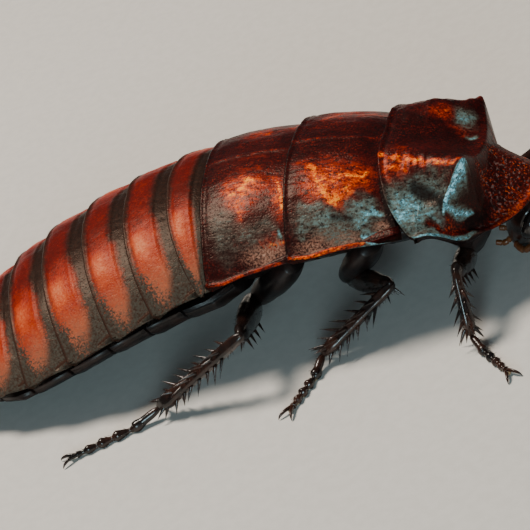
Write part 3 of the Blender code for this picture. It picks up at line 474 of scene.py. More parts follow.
def makeShield():
    share = np.linspace(-1, 1, shield["rows"])
    share = (0.5 * np.sin(share * np.pi / 2) + 0.5 * share)[:, None]
    across = share * shield["halfWidth"]
    front, rear = shieldFront(share), shieldRear(share)
    t = np.linspace(0, 1, shield["columns"])[None, :]
    along = front + (rear - front) * t
    detail, toEdge = shieldDetail(along, across, share)
    height = shieldTop(along, across) + detail
    top = bodyPoint(along, across, height)

    turn = np.linspace(0, np.pi, 7)[None, 1:]
    lipHeight = height[:, -1:] - body["lipDrop"] * (1 - np.cos(turn))
    lip = bodyPoint(rear - 0.1 + 0.1 * np.sin(turn), across, lipHeight)

    length, edge = rear - front, 1 - np.abs(share) ** 3
    root = rear - np.minimum(lipOverlap(share), 0.45 * length)
    wall = np.minimum(np.maximum(front + 0.75, np.minimum(8.0, rear - 3.2)), front + 0.45 * length)
    inset = across * 0.955

    def low(at):
        return bodyPoint(at, inset, np.minimum(0, shieldHeight(at, across)) - 0.4
                         + (body["plateFloor"] + 0.4) * edge)

    def ceiling(at, thick):
        return bodyPoint(at, inset, shieldHeight(at, across) - thick)

    under = [
        bodyPoint(root, across, shieldHeight(root, across) - body["lipRoot"]),
        low(root), low(wall + 0.5 * (root - wall)), low(wall + np.minimum(0.05 + 0.3 * edge, 0.1 * length)),
        ceiling(wall, 0.8 + 1.6 * edge), ceiling(front + 0.55 * (wall - front), 0.6 + 0.5 * edge),
        ceiling(front + np.minimum(0.1 + 0.25 * edge, 0.15 * length), 0.5),
    ]
    under = np.stack([point[:, 0] for point in under], 1)
    stops = np.arange(under.shape[1])
    fine = np.linspace(0, stops[-1], 6 * stops[-1] + 1)
    k = np.minimum(fine.astype(int), stops[-1] - 1)
    under = under[:, k] + (under[:, k + 1] - under[:, k]) * (fine - k)[None, :, None]
    frontTurn = np.linspace(0, 1, 5)[None, 1:-1, None]
    nose = under[:, -1:] + (top[:, :1] - under[:, -1:]) * frontTurn
    outward = unit(top[:, :1] - top[:, 1:2])
    nose = nose + outward * 0.14 * np.sin(frontTurn * np.pi)
    rings = np.concatenate([top, lip, under, nose], axis=1)

    (markAt, markOut), marks = wander(along, across + 0 * along), shieldMarks
    side = np.abs(across)
    behindFace = riseBetween(0.08, 0.4, along - knobEdge(side))
    inFront = riseBetween(8.2, 6.6, along)
    # Painted warm highlights: zones and strokes behind each knob's front face, weaker on the far side
    warmHighlight = np.maximum(patches(markAt, markOut, marks["warmHighlightZones"]),
                      strokes(markAt, markOut, marks["hotHighlightStrokes"]) * behindFace)
    warmHighlight = np.where(across > 0, np.maximum(0.35 * warmHighlight, patches(markAt, markOut, marks["farWarmHighlightZones"])),
                    warmHighlight)
    uneven = 0.75 + 0.25 * softNoise(stack(along, across, 0), 1.1, 61)
    # A painted warm highlight along the raised front rim
    rimHighlight = bump(toEdge, 0.3, 0.45) * riseBetween(8.0, 4.5, along) * uneven
    red = strokes(markAt, markOut, marks["redStrokes"])
    # Painted reflection of the cool lamp on the flanks, kept off the red strokes, and painted cyan
    # highlights along the crests
    coolReflection = patches(markAt, markOut, marks["coolReflectionZones"]) * behindFace * (1 - red)
    crestHighlight = np.maximum(strokes(along, side, marks["coolHighlightStrokes"]),
                       strokes(along, side, marks["footHighlightStrokes"]))
    farCoolReflection = np.maximum(0.8 * coolReflection, patches(markAt, markOut, marks["farCoolReflectionZones"]))
    coolReflection = np.where(across > 0, farCoolReflection, np.maximum(coolReflection, crestHighlight))
    # A painted cyan highlight along the lower rim
    coolReflection = np.maximum(coolReflection, 0.95 * bump(toEdge, 0.05, 0.2) * riseBetween(6.0, 8.5, along) * (share < 1))
    beforeKnob = knobEdge(side) + 0.1 - markAt
    # Painted shade on the steep front face of each knob
    face = riseBetween(3.8, 5.2, markOut) * (1 - behindFace)
    face = face * riseBetween(1.7, 0.9, beforeKnob) * riseBetween(8.6, 7.6, side)
    dark = np.maximum(strokes(along, side, marks["darkStrokes"]), 0.6 * face)
    grain = riseBetween(-0.2, 0.3, beforeKnob) * (1 - face) * riseBetween(8.6, 7.4, side)
    innerRim = 0.9 * bump(toEdge, 0.8, 0.5) * riseBetween(12.5, 10.5, along)
    masks = {
        "warmMask": np.maximum(warmHighlight, rimHighlight),
        "coolMask": coolReflection,
        "darkMask": dark * (1 - np.minimum(crestHighlight, 1)),
        "grainMask": grain * riseBetween(0.2, 0.6, toEdge),
        "redMask": np.maximum(np.maximum(0.4 * inFront, 0.7 * red), innerRim),
    }
    extra = np.zeros((len(along), rings.shape[1] - along.shape[1]))
    masks = {key: np.concatenate([value, extra + (key == "darkMask")], 1) for key, value in masks.items()}
    return finishPiece("pronotumShield", [ringPart(rings, masks)], "thoraxShell", ["pronotum"],
                       "thorax_plates")


# The other plates of the back

plates = {
    "names": ["mesonotum", "metanotum"] + [f"tergite_{number}" for number in range(1, 8)],
    "rows": 201,
    "columnSize": 0.11,  # mm between columns along a plate
    "toothLength": 0.55, "toothDepth": 0.07,  # the fine teeth of the side margins
    "beadHeight": 0.16,  # the raised side edge of the thoracic plates
}
# Warm zones and hot strokes are painted highlights of the warm lamp, cool strokes and zones painted
# highlights and reflections of the cool lamp, pale zones painted pale highlights
plateMarks = {
    "mesonotum": {
        "warmHighlightZones": [(20.4, 5.6, 2.4, 2.5, 0.95), (18.0, 5.2, 2.6, 1.7, 0.8), (18.9, 7.1, 1.7, 1.3, 0.8),
                      (22.3, 3.6, 1.2, 1.0, 0.5), (19.5, 3.2, 3.4, 1.0, 0.4), (16.5, 5.4, 0.8, 1.6, 0.6)],
        "hotHighlightStrokes": [([(21.8, 4.2), (21.1, 4.8), (20.7, 5.6), (20.1, 6.6), (19.5, 7.3)], 0.6, 1.15),
                       ([(18.9, 5.2), (17.6, 5.0), (16.8, 4.6)], 0.34, 1.15),
                       ([(18.6, 6.3), (17.8, 6.8), (18.2, 7.4)], 0.4, 0.9)],
        "coolHighlightStrokes": [([(15.9, 8.0), (16.6, 8.7), (17.3, 9.4)], 0.55, 0.95),
                        ([(17.4, 7.8), (18.6, 7.7)], 0.45, 0.55),
                        ([(13.6, 9.9), (15.2, 10.1), (16.8, 10.3)], 0.35, 0.95),
                        ([(22.4, 8.0), (20.8, 8.0)], 0.6, 0.55), ([(22.6, 9.7), (22.0, 8.8)], 0.5, 0.55)],
        "coolReflectionZones": [(20.4, 8.9, 3.4, 1.5, 0.62), (17.0, 8.4, 1.9, 1.8, 0.75), (16.2, 10.0, 1.2, 1.0, 0.7),
                      (15.8, 10.8, 1.4, 0.8, 0.8),
                      (19.0, 9.6, 3.6, 1.2, 0.5)],
        "darkStrokes": [([(19.6, 8.7), (18.0, 8.75)], 0.35, 0.7)],
        "paleHighlightZones": [(19.2, 10.1, 2.6, 0.75, 0.9), (17.0, 10.3, 1.6, 0.5, 0.8),
                      (21.6, 10.6, 2.0, 0.5, 0.6),
                      (15.3, 9.3, 0.9, 0.6, 1.0), (17.0, 10.9, 1.4, 0.7, 0.9)],
        "bead": 0.8,
    },
    "metanotum": {
        "warmHighlightZones": [(28.2, 5.0, 2.2, 2.2, 0.9), (28.1, 7.0, 0.8, 1.8, 0.6), (24.8, 5.6, 1.0, 2.4, 0.85),
                      (26.4, 4.4, 2.6, 1.8, 0.6), (25.4, 9.6, 1.3, 0.9, 0.6), (27.6, 2.4, 2.8, 1.0, 0.4),
                      (28.0, 0.8, 4.0, 1.6, 0.3)],
        "hotHighlightStrokes": [([(28.9, 5.2), (28.3, 4.5), (27.4, 3.9)], 0.6, 1.1),
                       ([(28.7, 5.8), (28.3, 6.6), (28.1, 7.8)], 0.34, 0.8),
                       ([(24.7, 4.6), (24.7, 5.6), (24.5, 6.8)], 0.42, 1.15),
                       ([(26.3, 9.7), (25.2, 9.7), (24.5, 9.9)], 0.36, 1.0)],
        "coolHighlightStrokes": [([(24.9, 8.8), (24.6, 9.2)], 0.3, 0.85)],
        "coolReflectionZones": [(30.2, 8.0, 2.2, 3.4, 0.42), (27.6, 9.0, 3.0, 1.6, 0.42), (26.0, 8.4, 1.6, 1.0, 0.4)],
        "darkStrokes": [([(26.6, 8.2), (25.8, 7.8)], 0.6, 0.5)],
        "paleHighlightZones": [(26.4, 10.5, 2.4, 0.8, 0.7), (25.0, 10.2, 0.8, 1.0, 0.6)],
        "bead": 0.5,
    },
}


def eaveHollow(along, across):
    # Half a sine wave of 1.3 mm between the trunk and the side margin
    inner, outer = body["trunkHalfWidth"] + 0.5, halfWidth(along) - 0.6
    share = np.clip((np.abs(across) - inner) / (outer - inner), 0, 1)
    return 1.3 * np.sin(np.pi * share) ** 1.2


def plateDetail(index, along, across, share, mix, rear):
    # A rear bead and groove, lengthwise wrinkles, low swellings and, on the thorax, a keel and patches of
    # creases
    thorax = index < 3
    flat = stack(along, across, np.full_like(along, 10.0 * index))
    toRear = rear - along
    value = 0.06 * bump(toRear, 0.12, 0.13) - 0.05 * bump(toRear, 0.5, 0.22) - 0.08
    shown = riseBetween(0, 0.12, mix)
    value = value + shown * 0.035 * layeredNoise(flat * [0.45, 1, 1], 0.9, 3, 2)
    value = value + shown * 0.10 * layeredNoise(flat, 3.4, 2, 6)
    if thorax:
        value = value + shown * 0.09 * bump(across, 0, 0.22)
        rough = bump(np.abs(across), 5.6, 2.4) * riseBetween(0.02, 0.2, mix)
        value = value + 0.055 * (creases(flat * [0.5, 1.3, 1], 0.7, 4) - 0.35) * rough
        value = value + plates["beadHeight"] * riseBetween(0.965, 0.985, np.abs(share))
        value = value - 0.10 * bump(np.abs(share), 0.945, 0.02)
    else:
        value = value + 0.05 * bump(mix, 0.37, 0.05) - 0.05 * bump(mix, 0.30, 0.05)
        outward = riseBetween(0.3, 0.8, np.abs(share))
        value = value + 0.03 * np.maximum(softNoise(flat, 0.42, 8), 0) * outward
    return value


def makePlate(index):
    # Rings run back over the top of the plate, round its rear lip and forwards below it
    name = plates["names"][index - 1]
    thorax = index < 3
    share = np.linspace(-1, 1, plates["rows"])
    share = (0.5 * np.sin(share * np.pi / 2) + 0.5 * share)[:, None]
    widthBefore = plateHalfWidth(index - 1)
    widthFront, widthRear = widthBefore - 0.65, plateHalfWidth(index)
    front = rearEdge(index - 1, share * widthFront / widthBefore)
    rear = rearEdge(index, share)
    overlap, room = lipOverlap(share), 0.2 if index == 1 else 0.0
    start = front - overlap + body["gap"] + room

    def sideAt(at):
        mix = np.clip((at - front) / (rear - front), -0.3, 1)
        teeth = plates["toothDepth"] * np.abs(np.sin(at / plates["toothLength"] * np.pi))
        teeth = teeth * riseBetween(0.985, 1.0, np.abs(share)) * riseBetween(0.1, 0.3, mix)
        corner = 0.45 * riseBetween(0.75, 1.05, mix) * riseBetween(0.8, 1.0, np.abs(share))
        return share * (widthFront + (widthRear - widthFront) * mix) - np.sign(share) * (teeth + corner)

    steps = int(np.ceil((rear - start).max() / plates["columnSize"]))
    t = np.linspace(0, 1, steps)[None, :]
    along = start + (rear - start) * t
    mix = (along - front) / (rear - front)
    across = sideAt(along)
    depth = curveThrough(mix, [-0.3, 0, 0.35, 0.7, 1], [body["sink"], body["sinkAtEdge"], 0.31, 0.06, 0])
    depth = depth + room * (mix < 0)
    depth = depth + room * (1 - riseBetween(0, 0.3, mix)) * (mix >= 0)
    detail = plateDetail(index, along, across, share, mix, rear)
    height = backHeight(along, across) - depth + detail
    top = bodyPoint(along, across, height)

    turn = np.linspace(0, np.pi, 7)[None, 1:]
    lipHeight = height[:, -1:] - body["lipDrop"] * (1 - np.cos(turn))
    lip = bodyPoint(rear - 0.12 + 0.12 * np.sin(turn), sideAt(rear), lipHeight)

    thin = riseBetween(0.90, 0.995, np.abs(share))
    hollow = 1.0 if thorax else 0.0

    def low(at):
        out = sideAt(at) - 0.6 * share * (1 - 0.6 * thin)
        floor = body["plateFloor"] + hollow * eaveHollow(at, out)
        return bodyPoint(at, out, floor * (1 - thin) + (backHeight(at, out) - 0.45) * thin)

    middle = front + 0.5 * (rear - front) - 0.5 * (overlap - body["gap"])
    inner = bodyPoint(rear - overlap, sideAt(rear - overlap),
                      backHeight(rear - overlap, sideAt(rear - overlap)) - body["lipRoot"])
    under = np.stack([point[:, 0] for point in (inner, low(rear - overlap), low(middle), low(start))], 1)
    fine = np.linspace(0, 3, 19)
    k = np.minimum(fine.astype(int), 2)
    under = under[:, k] + (under[:, k + 1] - under[:, k]) * (fine - k)[None, :, None]
    rings = np.concatenate([top, lip, under], axis=1)

    side = np.abs(across)
    masks = {"sideShare": np.abs(share) + 0 * mix, "lengthShare": np.clip(mix, 0, 1)}
    if thorax:
        marks = plateMarks[name]
        # A painted warm highlight along the raised side bead
        rimSpan = riseBetween(0.03, 0.1, mix) * (1 - riseBetween(0.97, 1, mix))
        rim = riseBetween(0.962, 0.975, np.abs(share)) * rimSpan
        markAt, markOut = wander(along, across)
        # Painted warm highlights on the shoulders, weaker on the far side, and painted cool highlights and
        # reflections on the flank
        warmHighlight = np.maximum(patches(markAt, markOut, marks["warmHighlightZones"]),
                          strokes(markAt, markOut, marks["hotHighlightStrokes"]))
        coolReflection = np.maximum(patches(markAt, markOut, marks["coolReflectionZones"]),
                          strokes(markAt, markOut, marks["coolHighlightStrokes"]))
        masks = {
            "warmMask": np.maximum(warmHighlight * np.where(across > 0, 0.6, 1.0), marks["bead"] * rim),
            "coolMask": coolReflection,
            "darkMask": strokes(along, side, marks["darkStrokes"]),
            "pinkMask": patches(along, side, marks["paleHighlightZones"]) * (1 - rim),
            "redMask": np.maximum(0.9 * bump(across, 0, 0.2),
                                  0.4 * bump(mix, 0.5, 0.4) * bump(side, 3.4, 2.6)),
            # Painted shade in the joints: where the plate runs under the lip of the one before and where it
            # turns down at its rear edge
            "grooveMask": np.maximum(1 - riseBetween(0.0, 0.06, mix), riseBetween(0.975, 1.0, mix)),
        }
    extra = rings.shape[1] - along.shape[1]
    padded = {}
    for key, value in masks.items():
        value = np.broadcast_to(value, along.shape)
        ending = value[:, -1:] if key in ("sideShare", "lengthShare") else 0 * value[:, -1:]
        padded[key] = np.concatenate([value, np.repeat(ending, extra, 1)], 1)
    finish, slotName = ("thoraxShell", "thorax_plates") if thorax else ("abdomenShell", "abdomen_plates")
    pieceName = name.replace("_", "") + ("Plate" if not thorax else "Shell")
    return finishPiece(pieceName, [ringPart(rings, padded)], finish, [name], slotName)


tailPlate = {"halfWidth": 5.2, "notchDepth": 0.7, "notchWidth": 1.3, "cornerBack": 2.6, "rows": 121,
             "columns": 42}


def makeTailPlate():
    # The last plate: an arch that narrows, its rear edge rounded with a notch in the middle
    share = np.linspace(-1, 1, tailPlate["rows"])[:, None]
    last, wide = len(body["rearEdge"]) - 1, tailPlate["halfWidth"]
    front = rearEdge(last, share * wide / halfWidth(body["rearEdge"][last]))
    notch = tailPlate["notchDepth"] * bump(share * wide, 0, tailPlate["notchWidth"])
    rear = body["tailEnd"] - notch - tailPlate["cornerBack"] * np.abs(share) ** 2.6
    start = front - body["overlap"] + body["gap"]

    def place(at, depth, inset=0.0):
        out = share * (wide - inset)
        drop = 0.5 * riseBetween(front, body["tailEnd"], at) * share**2
        return bodyPoint(at, out, backHeight(at, out) - depth - drop)

    t = np.linspace(0, 1, tailPlate["columns"])[None, :]
    along = start + (rear - start) * t
    mix = (along - front) / (rear - front)
    flat = stack(along, share * wide + 0 * along, 0 * along)
    depth = np.interp(mix, [-0.3, 0, 0.5, 1], [0.9, 0.68, 0.68, 0.93])
    depth = depth - 0.05 * layeredNoise(flat, 0.8, 3, 21)
    top = place(along, depth)
    turn = np.linspace(0, np.pi, 6)[None, 1:]
    lip = place(rear - 0.1 + 0.1 * np.sin(turn), 0.93 + 0.27 * (1 - np.cos(turn)), 0.1 * (1 - np.cos(turn)))
    floor = body["plateFloor"] + 0.3
    under = [bodyPoint(rear - (rear - start) * part, share * (wide - 0.4), floor + 0 * share)
             for part in (0.3, 0.6, 1.0)]
    under = np.stack([ring[:, 0] for ring in under], 1)
    rings = np.concatenate([top, lip, under], axis=1)
    extra = rings.shape[1] - along.shape[1]
    length = np.concatenate([np.clip(mix, 0, 1), np.ones((len(share), extra))], 1)
    masks = {"lengthShare": length, "sideShare": np.broadcast_to(np.abs(share) * 0.5, length.shape)}
    return finishPiece("tailPlate", [ringPart(rings, masks)], "abdomenShell", ["supra_anal_plate"],
                       "abdomen_plates")


# Underside

def thoraxWidth(along):
    return np.interp(along, [7, 10, 16, 31], [3.6, 5.6, 7.0, body["trunkHalfWidth"]])


def thoraxDepth(along):
    return np.interp(along, [7, 12, 20, 31], [3.2, 4.0, body["trunkDepth"], body["trunkDepth"]])


def bellyWidth(along):
    return np.interp(along, [31, 34, 58, 61, 64], [9.2, 11.2, 10.2, 8.4, 6.3])


def bellyDepth(along):
    return np.interp(along, [30, 36, 42, 50, 56, 60, 65], [4.4, 4.4, 4.3, 3.7, 3.2, 2.7, 1.9])


def makeUnderside(node, front, rear, wide, depth, step, finish="underShell"):
    # Flat above, and below a belly that bulges as (1 - share^3)^0.6 and steps down to its rear edge
    share = np.sin(np.linspace(-1, 1, 81) * np.pi / 2)[:, None]
    bulge = (1 - np.abs(share) ** 3) ** 0.6
    middle = (front + rear) / 2

    def top(at):
        return bodyPoint(at, share * wide(at), body["undersideTop"] + 0 * share)

    along = np.linspace(rear, front, 34)[None, :]
    t = (along - front) / (rear - front)
    rise = np.interp(t, [0, 0.5, 0.92, 1], [step, 0.4 * step, 0.0, 0.35 * step])
    flat = stack(along, share * 8, 0 * along)
    reach = body["sideWall"] + (depth(along) + body["undersideTop"]) * bulge
    fold = 0.05 * layeredNoise(flat * [1, 0.5, 1], 1.6, 3, 31) * bulge - 0.06 * bump(t, 0.86, 0.03) * bulge
    depthBelow = body["undersideTop"] - reach + rise * bulge + fold
    below = bodyPoint(along, share * wide(along) * 0.985, depthBelow)
    rings = np.concatenate([np.stack([top(at)[:, 0] for at in (front, middle, rear)], 1), below], axis=1)
    extra = rings.shape[1] - along.shape[1]
    length = np.concatenate([np.zeros(extra), t[0]])[None, :]
    masks = {"lengthShare": length, "sideShare": np.abs(share)}
    masks = {key: np.broadcast_to(value, rings.shape[:2]) for key, value in masks.items()}
    pieceName = node.replace("_", "") + "Under"
    return finishPiece(pieceName, [ringPart(rings, masks)], finish, [node], "underside")


def makeUndersides():
    for node, front, rear in zip(("prothorax", "mesothorax", "metathorax"), body["thoraxJoins"],
                                 body["thoraxJoins"][1:]):
        makeUnderside(f"{node}_underside", front + body["gap"], rear, thoraxWidth, thoraxDepth, 0.0)
    last = len(body["bellyJoins"]) - 2
    for index, (front, rear) in enumerate(zip(body["bellyJoins"], body["bellyJoins"][1:])):
        node = "subgenital_plate" if index == last else f"sternite_{index + 2}"
        makeUnderside(node, front + body["gap"], rear, bellyWidth, bellyDepth, 0.3)


# Head

headShape = {
    "top": (24.9, 0.0, 7.0), "bottom": (21.2, 0.0, 1.1),
    "halfWidth": 3.6, "halfDepth": 2.1,
    "stops": [0.0, 0.05, 0.15, 0.3, 0.45, 0.6, 0.74, 0.84, 0.93, 1.0],
    "widths": [0.30, 0.62, 0.88, 1.0, 0.99, 0.88, 0.72, 0.60, 0.48, 0.28],
    "depths": [0.35, 0.68, 0.92, 1.0, 0.96, 0.88, 0.80, 0.66, 0.48, 0.25],
    "eyeStop": 0.34, "eyeAngle": 1.28, "eyeHalfStop": 0.225, "eyeHalfAngle": 0.42,
}
headDown = unit(np.array(headShape["bottom"]) - np.array(headShape["top"]))
headFront = unit(np.cross([0, 1, 0], headDown) * -1)


def headPoint(stop, angle, out=0.0):
    # An ellipse at each stop from crown to mouth: cos of the angle to the face, sin to the left
    axis = np.array(headShape["bottom"]) - np.array(headShape["top"])
    wide = curveThrough(stop, headShape["stops"], headShape["widths"]) * headShape["halfWidth"] + out
    deep = curveThrough(stop, headShape["stops"], headShape["depths"]) * headShape["halfDepth"] + out
    stop, wide, deep, angle = np.broadcast_arrays(stop, wide, deep, angle)
    centre = np.array(headShape["top"]) + stop[..., None] * axis
    forward = (deep * np.cos(angle))[..., None] * headFront
    return centre + forward + (wide * np.sin(angle))[..., None] * np.array([0.0, 1.0, 0.0])


def makeHead():
    stop = np.concatenate([[0.0, 0.015], np.linspace(0.03, 0.97, 60), [0.985, 1.0]])[:, None]
    angle = (np.arange(96) * 2 * np.pi / 96)[None, :]
    turned = np.abs(np.angle(np.exp(1j * angle)))
    face = riseBetween(1.4, 0.4, turned)
    socket = 0.22 * np.exp(-(((turned - 0.62) / 0.16) ** 2 + ((stop - 0.40) / 0.045) ** 2))
    suture = -0.09 * bump(stop, 0.70 + 0.05 * np.cos(turned * 2), 0.012) * face
    lineSpan = riseBetween(0.1, 0.2, stop) * (1 - riseBetween(0.5, 0.6, stop))
    middleLine = -0.05 * bump(turned, 0, 0.03) * lineSpan
    fromEye = ((turned - headShape["eyeAngle"]) / 0.5) ** 2 + ((stop - headShape["eyeStop"]) / 0.27) ** 2
    eyeRing = 0.10 * bump(np.sqrt(fromEye), 1, 0.12)
    grain = 0.03 * layeredNoise(headPoint(stop, angle), 0.8, 3, 41)
    flatten = -0.22 * face * bump(stop, 0.45, 0.25)
    rings = headPoint(stop, angle, socket + suture + middleLine + eyeRing + grain + flatten)
    ocellus = np.exp(-(((turned - 0.5) / 0.09) ** 2 + ((stop - 0.30) / 0.022) ** 2))
    masks = {"paleMask": np.maximum(ocellus, 0.7 * riseBetween(0.72, 0.78, stop) * face),
             "darkMask": riseBetween(0.62, 0.7, stop) * 0.4}
    parts = [ringPart(rings, masks)]
    lipRoot = headPoint(0.74, 0.0, -0.35)
    lipPath = np.array([lipRoot, lipRoot + headDown * 0.7 + headFront * 0.12, lipRoot + headDown * 1.5,
                        lipRoot + headDown * 1.95])
    at = np.linspace(0, 3, 22)
    lip = tubeRings(curveThrough(at, range(4), lipPath), curveThrough(at, range(4), [0.45, 0.5, 0.42, 0.2]),
                    curveThrough(at, range(4), [1.25, 1.35, 1.2, 0.75]), headFront, 32)
    parts.append(ringPart(lip, {"paleMask": np.broadcast_to(0.8, lip.shape[:2])}))
    for side in (-1, 1):
        root = headPoint(0.8, side * 1.1, -0.6)
        path = np.array([root, root + headDown * 0.9,
                         root + headDown * 1.5 + np.array([0, -side * 0.55, 0])])
        at = np.linspace(0, 2, 18)
        jaw = tubeRings(curveThrough(at, range(3), path), curveThrough(at, range(3), [0.5, 0.55, 0.25]),
                        curveThrough(at, range(3), [0.55, 0.5, 0.2]), headFront, 20)
        parts.append(ringPart(jaw, {"darkMask": np.broadcast_to(1.0, jaw.shape[:2])}))
        root = headPoint(0.86, math.pi - side * 0.75, -0.35)
        path = np.array([root, root + headDown * 0.9 - headFront * 0.5,
                         root + headDown * 1.2 - headFront * 1.3])
        palp = jointedRings(path, [0.3, 0.3, 0.26], 3, 20)
        parts.append(ringPart(palp, {"paleMask": np.broadcast_to(0.4, palp.shape[:2])}))
    finishPiece("headCapsule", parts, "headShell", ["head"], "head")
    for side in (-1, 1):
        makeEye(side)
        makePalp(side)


def jointedRings(path, sizes, joints, sides, perJoint=10):
    # A tube whose radius dips at each joint by 1 - 0.35 of a narrow bell
    path, sizes = np.asarray(path, float), np.asarray(sizes, float)
    at = np.linspace(0, len(path) - 1, joints * perJoint)
    share = at / at[-1] * joints
    dip = 1 - 0.35 * bump(np.abs(share - np.round(share)), 0, 0.10) * (share > 0.3) * (share < joints - 0.3)
    radii = curveThrough(at, range(len(sizes)), sizes) * dip
    return tubeRings(curveThrough(at, range(len(path)), path), radii, radii, (0, 0, 1), sides)


def makeEye(side):
    # A kidney: rings of the oval grow outwards while they sink as sqrt(1 - share^2.4), then close below
    share = np.linspace(0.02, 1, 26)[:, None]
    turn = (np.arange(72) * 2 * np.pi / 72)[None, :]
    stop = headShape["eyeStop"] + headShape["eyeHalfStop"] * share * np.cos(turn)
    kidney = np.sin(turn) + 0.25 * np.cos(turn) ** 2
    angle = headShape["eyeAngle"] + headShape["eyeHalfAngle"] * share * kidney
    bulge = 0.35 + 0.82 * np.sqrt(np.maximum(0, 1 - share**2.4))
    outer = headPoint(stop, side * angle, bulge + 0 * turn)
    inner = headPoint(stop, side * angle, 0.12 + 0 * turn + 0 * share)[::-1]
    name = "left" if side > 0 else "right"
    return finishPiece(f"{name}Eye", [ringPart(np.concatenate([outer, inner]))], "eyeGloss",
                       [f"eye_{name}"], "eyes")


def makePalp(side):
    root = headPoint(0.80, side * 1.75, 0.2)
    steps = [(0, 0, 0), (0.2, 0.5, -0.1), (0.9, 1.1, -0.3), (1.9, 1.3, 0.1), (2.7, 1.1, -0.5),
             (3.3, 0.9, -1.1)]
    path = np.array([root + np.array([x, side * y, z]) for x, y, z in steps])
    rings = jointedRings(path, [0.22, 0.32, 0.33, 0.33, 0.38, 0.16], 5, 24)
    name = "left" if side > 0 else "right"
    return finishPiece(f"{name}Palp",
                       [ringPart(rings, {"paleMask": np.broadcast_to(0.3, rings.shape[:2])})],
                       "headShell", [f"palp_{name}"], "head")


def makeNeck():
    back = headPoint(0.42, math.pi, 0.1)
    start = bodyPoint(body["thoraxJoins"][0], 0, body["undersideTop"] - 1.5)
    at = np.linspace(0, 1, 30)
    folds = 1 + 0.06 * np.sin(at * 22)
    rings = tubeRings(back + (start - back) * at[:, None],
                      np.interp(at, [0, 0.4, 1], [1.0, 1.25, 1.2]) * folds,
                      np.interp(at, [0, 0.4, 1], [1.7, 2.1, 2.35]) * folds, (0, 0, 1), 40)
    return finishPiece("softNeck", [ringPart(rings)], "softSkin", ["neck"], "underside")


# Feelers

feelers = {
    "reach": {1: 41.0, -1: 43.0}, "spread": {1: 0.75, -1: 0.62},
    "steps": 34, "rings": 120, "baseRadius": 0.40, "tipRadius": 0.20,
    "cercusRings": 12,
}


def makeAntenna(side):
    # The route of the solid, its radius swelling once for each of the feeler's rings
    root = headPoint(0.40, side * 0.62, 0.3)
    aim = unit([0.92, side * 0.38, 0.05])
    knee = root + aim * 2.2
    heading = math.atan2(side * feelers["spread"][side], 1.0)
    share = (np.arange(feelers["steps"]) + 1) / feelers["steps"]
    turn = heading * (1 - 0.35 * share) + side * 0.25 * np.sin(share * 3.0)
    climb = 0.42 * (1 - share) ** 1.5 - 0.30 * share**1.4
    strides = unit(np.stack([np.cos(turn), np.sin(turn), climb], -1))
    strides = strides * feelers["reach"][side] / feelers["steps"]
    path = knee + np.cumsum(strides, axis=0)
    whole = np.concatenate([[root, root + aim * 0.5, root + aim * 1.7, knee], path])
    lengths = np.concatenate([[0], np.cumsum(np.linalg.norm(np.diff(whole, axis=0), axis=1))])
    at = np.linspace(0, lengths[-1], feelers["rings"] * 5)
    centre = curveThrough(at, lengths, whole)
    along = at / at[-1]
    smoothRadius = np.interp(at, [0, 0.45, 1.7, 2.2, 2.6, lengths[-1]],
                             [0.36, 0.60, 0.58, 0.40, feelers["baseRadius"], feelers["tipRadius"]])
    cycle = along * feelers["rings"]
    radii = smoothRadius * (1 - 0.14 * bump(cycle - np.round(cycle), 0, 0.16) * (at > 2.3))
    rings = tubeRings(centre, radii, radii, (0, 0, 1), 14)
    onRing = bump(cycle - np.round(cycle), 0, 0.2)[:, None] * np.ones((1, 14))
    parts = [ringPart(rings, {"ringMask": onRing})]
    rng = np.random.default_rng(71 + side)
    pick = rng.integers(40, len(at) - 6, 420)
    angles = rng.uniform(0, 2 * np.pi, 420)
    tangents = unit(np.gradient(centre, axis=0))[pick]
    sideways = unit(np.cross(tangents, [0, 0, 1.0]))
    upward = np.cross(sideways, tangents)
    out = np.cos(angles)[:, None] * upward + np.sin(angles)[:, None] * sideways
    parts += coneParts(centre[pick] + out * (radii[pick] * 0.8)[:, None], out + tangents * 1.2,
                       rng.uniform(0.25, 0.42, 420), np.full(420, 0.022), 0.0, 3, 3)
    name = "left" if side > 0 else "right"
    return finishPiece(f"{name}Antenna", parts, "feelerShell", [f"antenna_{name}"], "feelers")


def makeCercus(side):
    root, tip = bodyPoint(64.6, side * 5.9, 0.3), bodyPoint(68.2, side * 8.6, 0.6)
    at = np.linspace(0, 1, 84)
    cycle = at * feelers["cercusRings"]
    radii = curveThrough(at, [0, 0.12, 0.45, 0.8, 1.0], [0.35, 0.6, 0.62, 0.42, 0.12])
    radii = radii * (1 - 0.13 * bump(cycle - np.round(cycle), 0, 0.14))
    centre = root + (tip - root) * at[:, None]
    parts = [ringPart(tubeRings(centre, radii, radii, (0, 0, 1), 22))]
    rng = np.random.default_rng(83 + side)
    pick, angles = rng.integers(12, 68, 90), rng.uniform(0, 2 * np.pi, 90)
    along = unit(tip - root)
    sideways = unit(np.cross(along, [0, 0, 1.0]))
    out = np.cos(angles)[:, None] * np.cross(sideways, along) + np.sin(angles)[:, None] * sideways
    parts += coneParts(centre[pick] + out * (radii[pick] * 0.8)[:, None], out + along * 0.9,
                       rng.uniform(0.2, 0.45, 90), np.full(90, 0.02), 0.0, 3, 3)
    name = "left" if side > 0 else "right"
    return finishPiece(f"{name}Cercus", parts, "feelerShell", [f"cercus_{name}"], "feelers")


# Legs

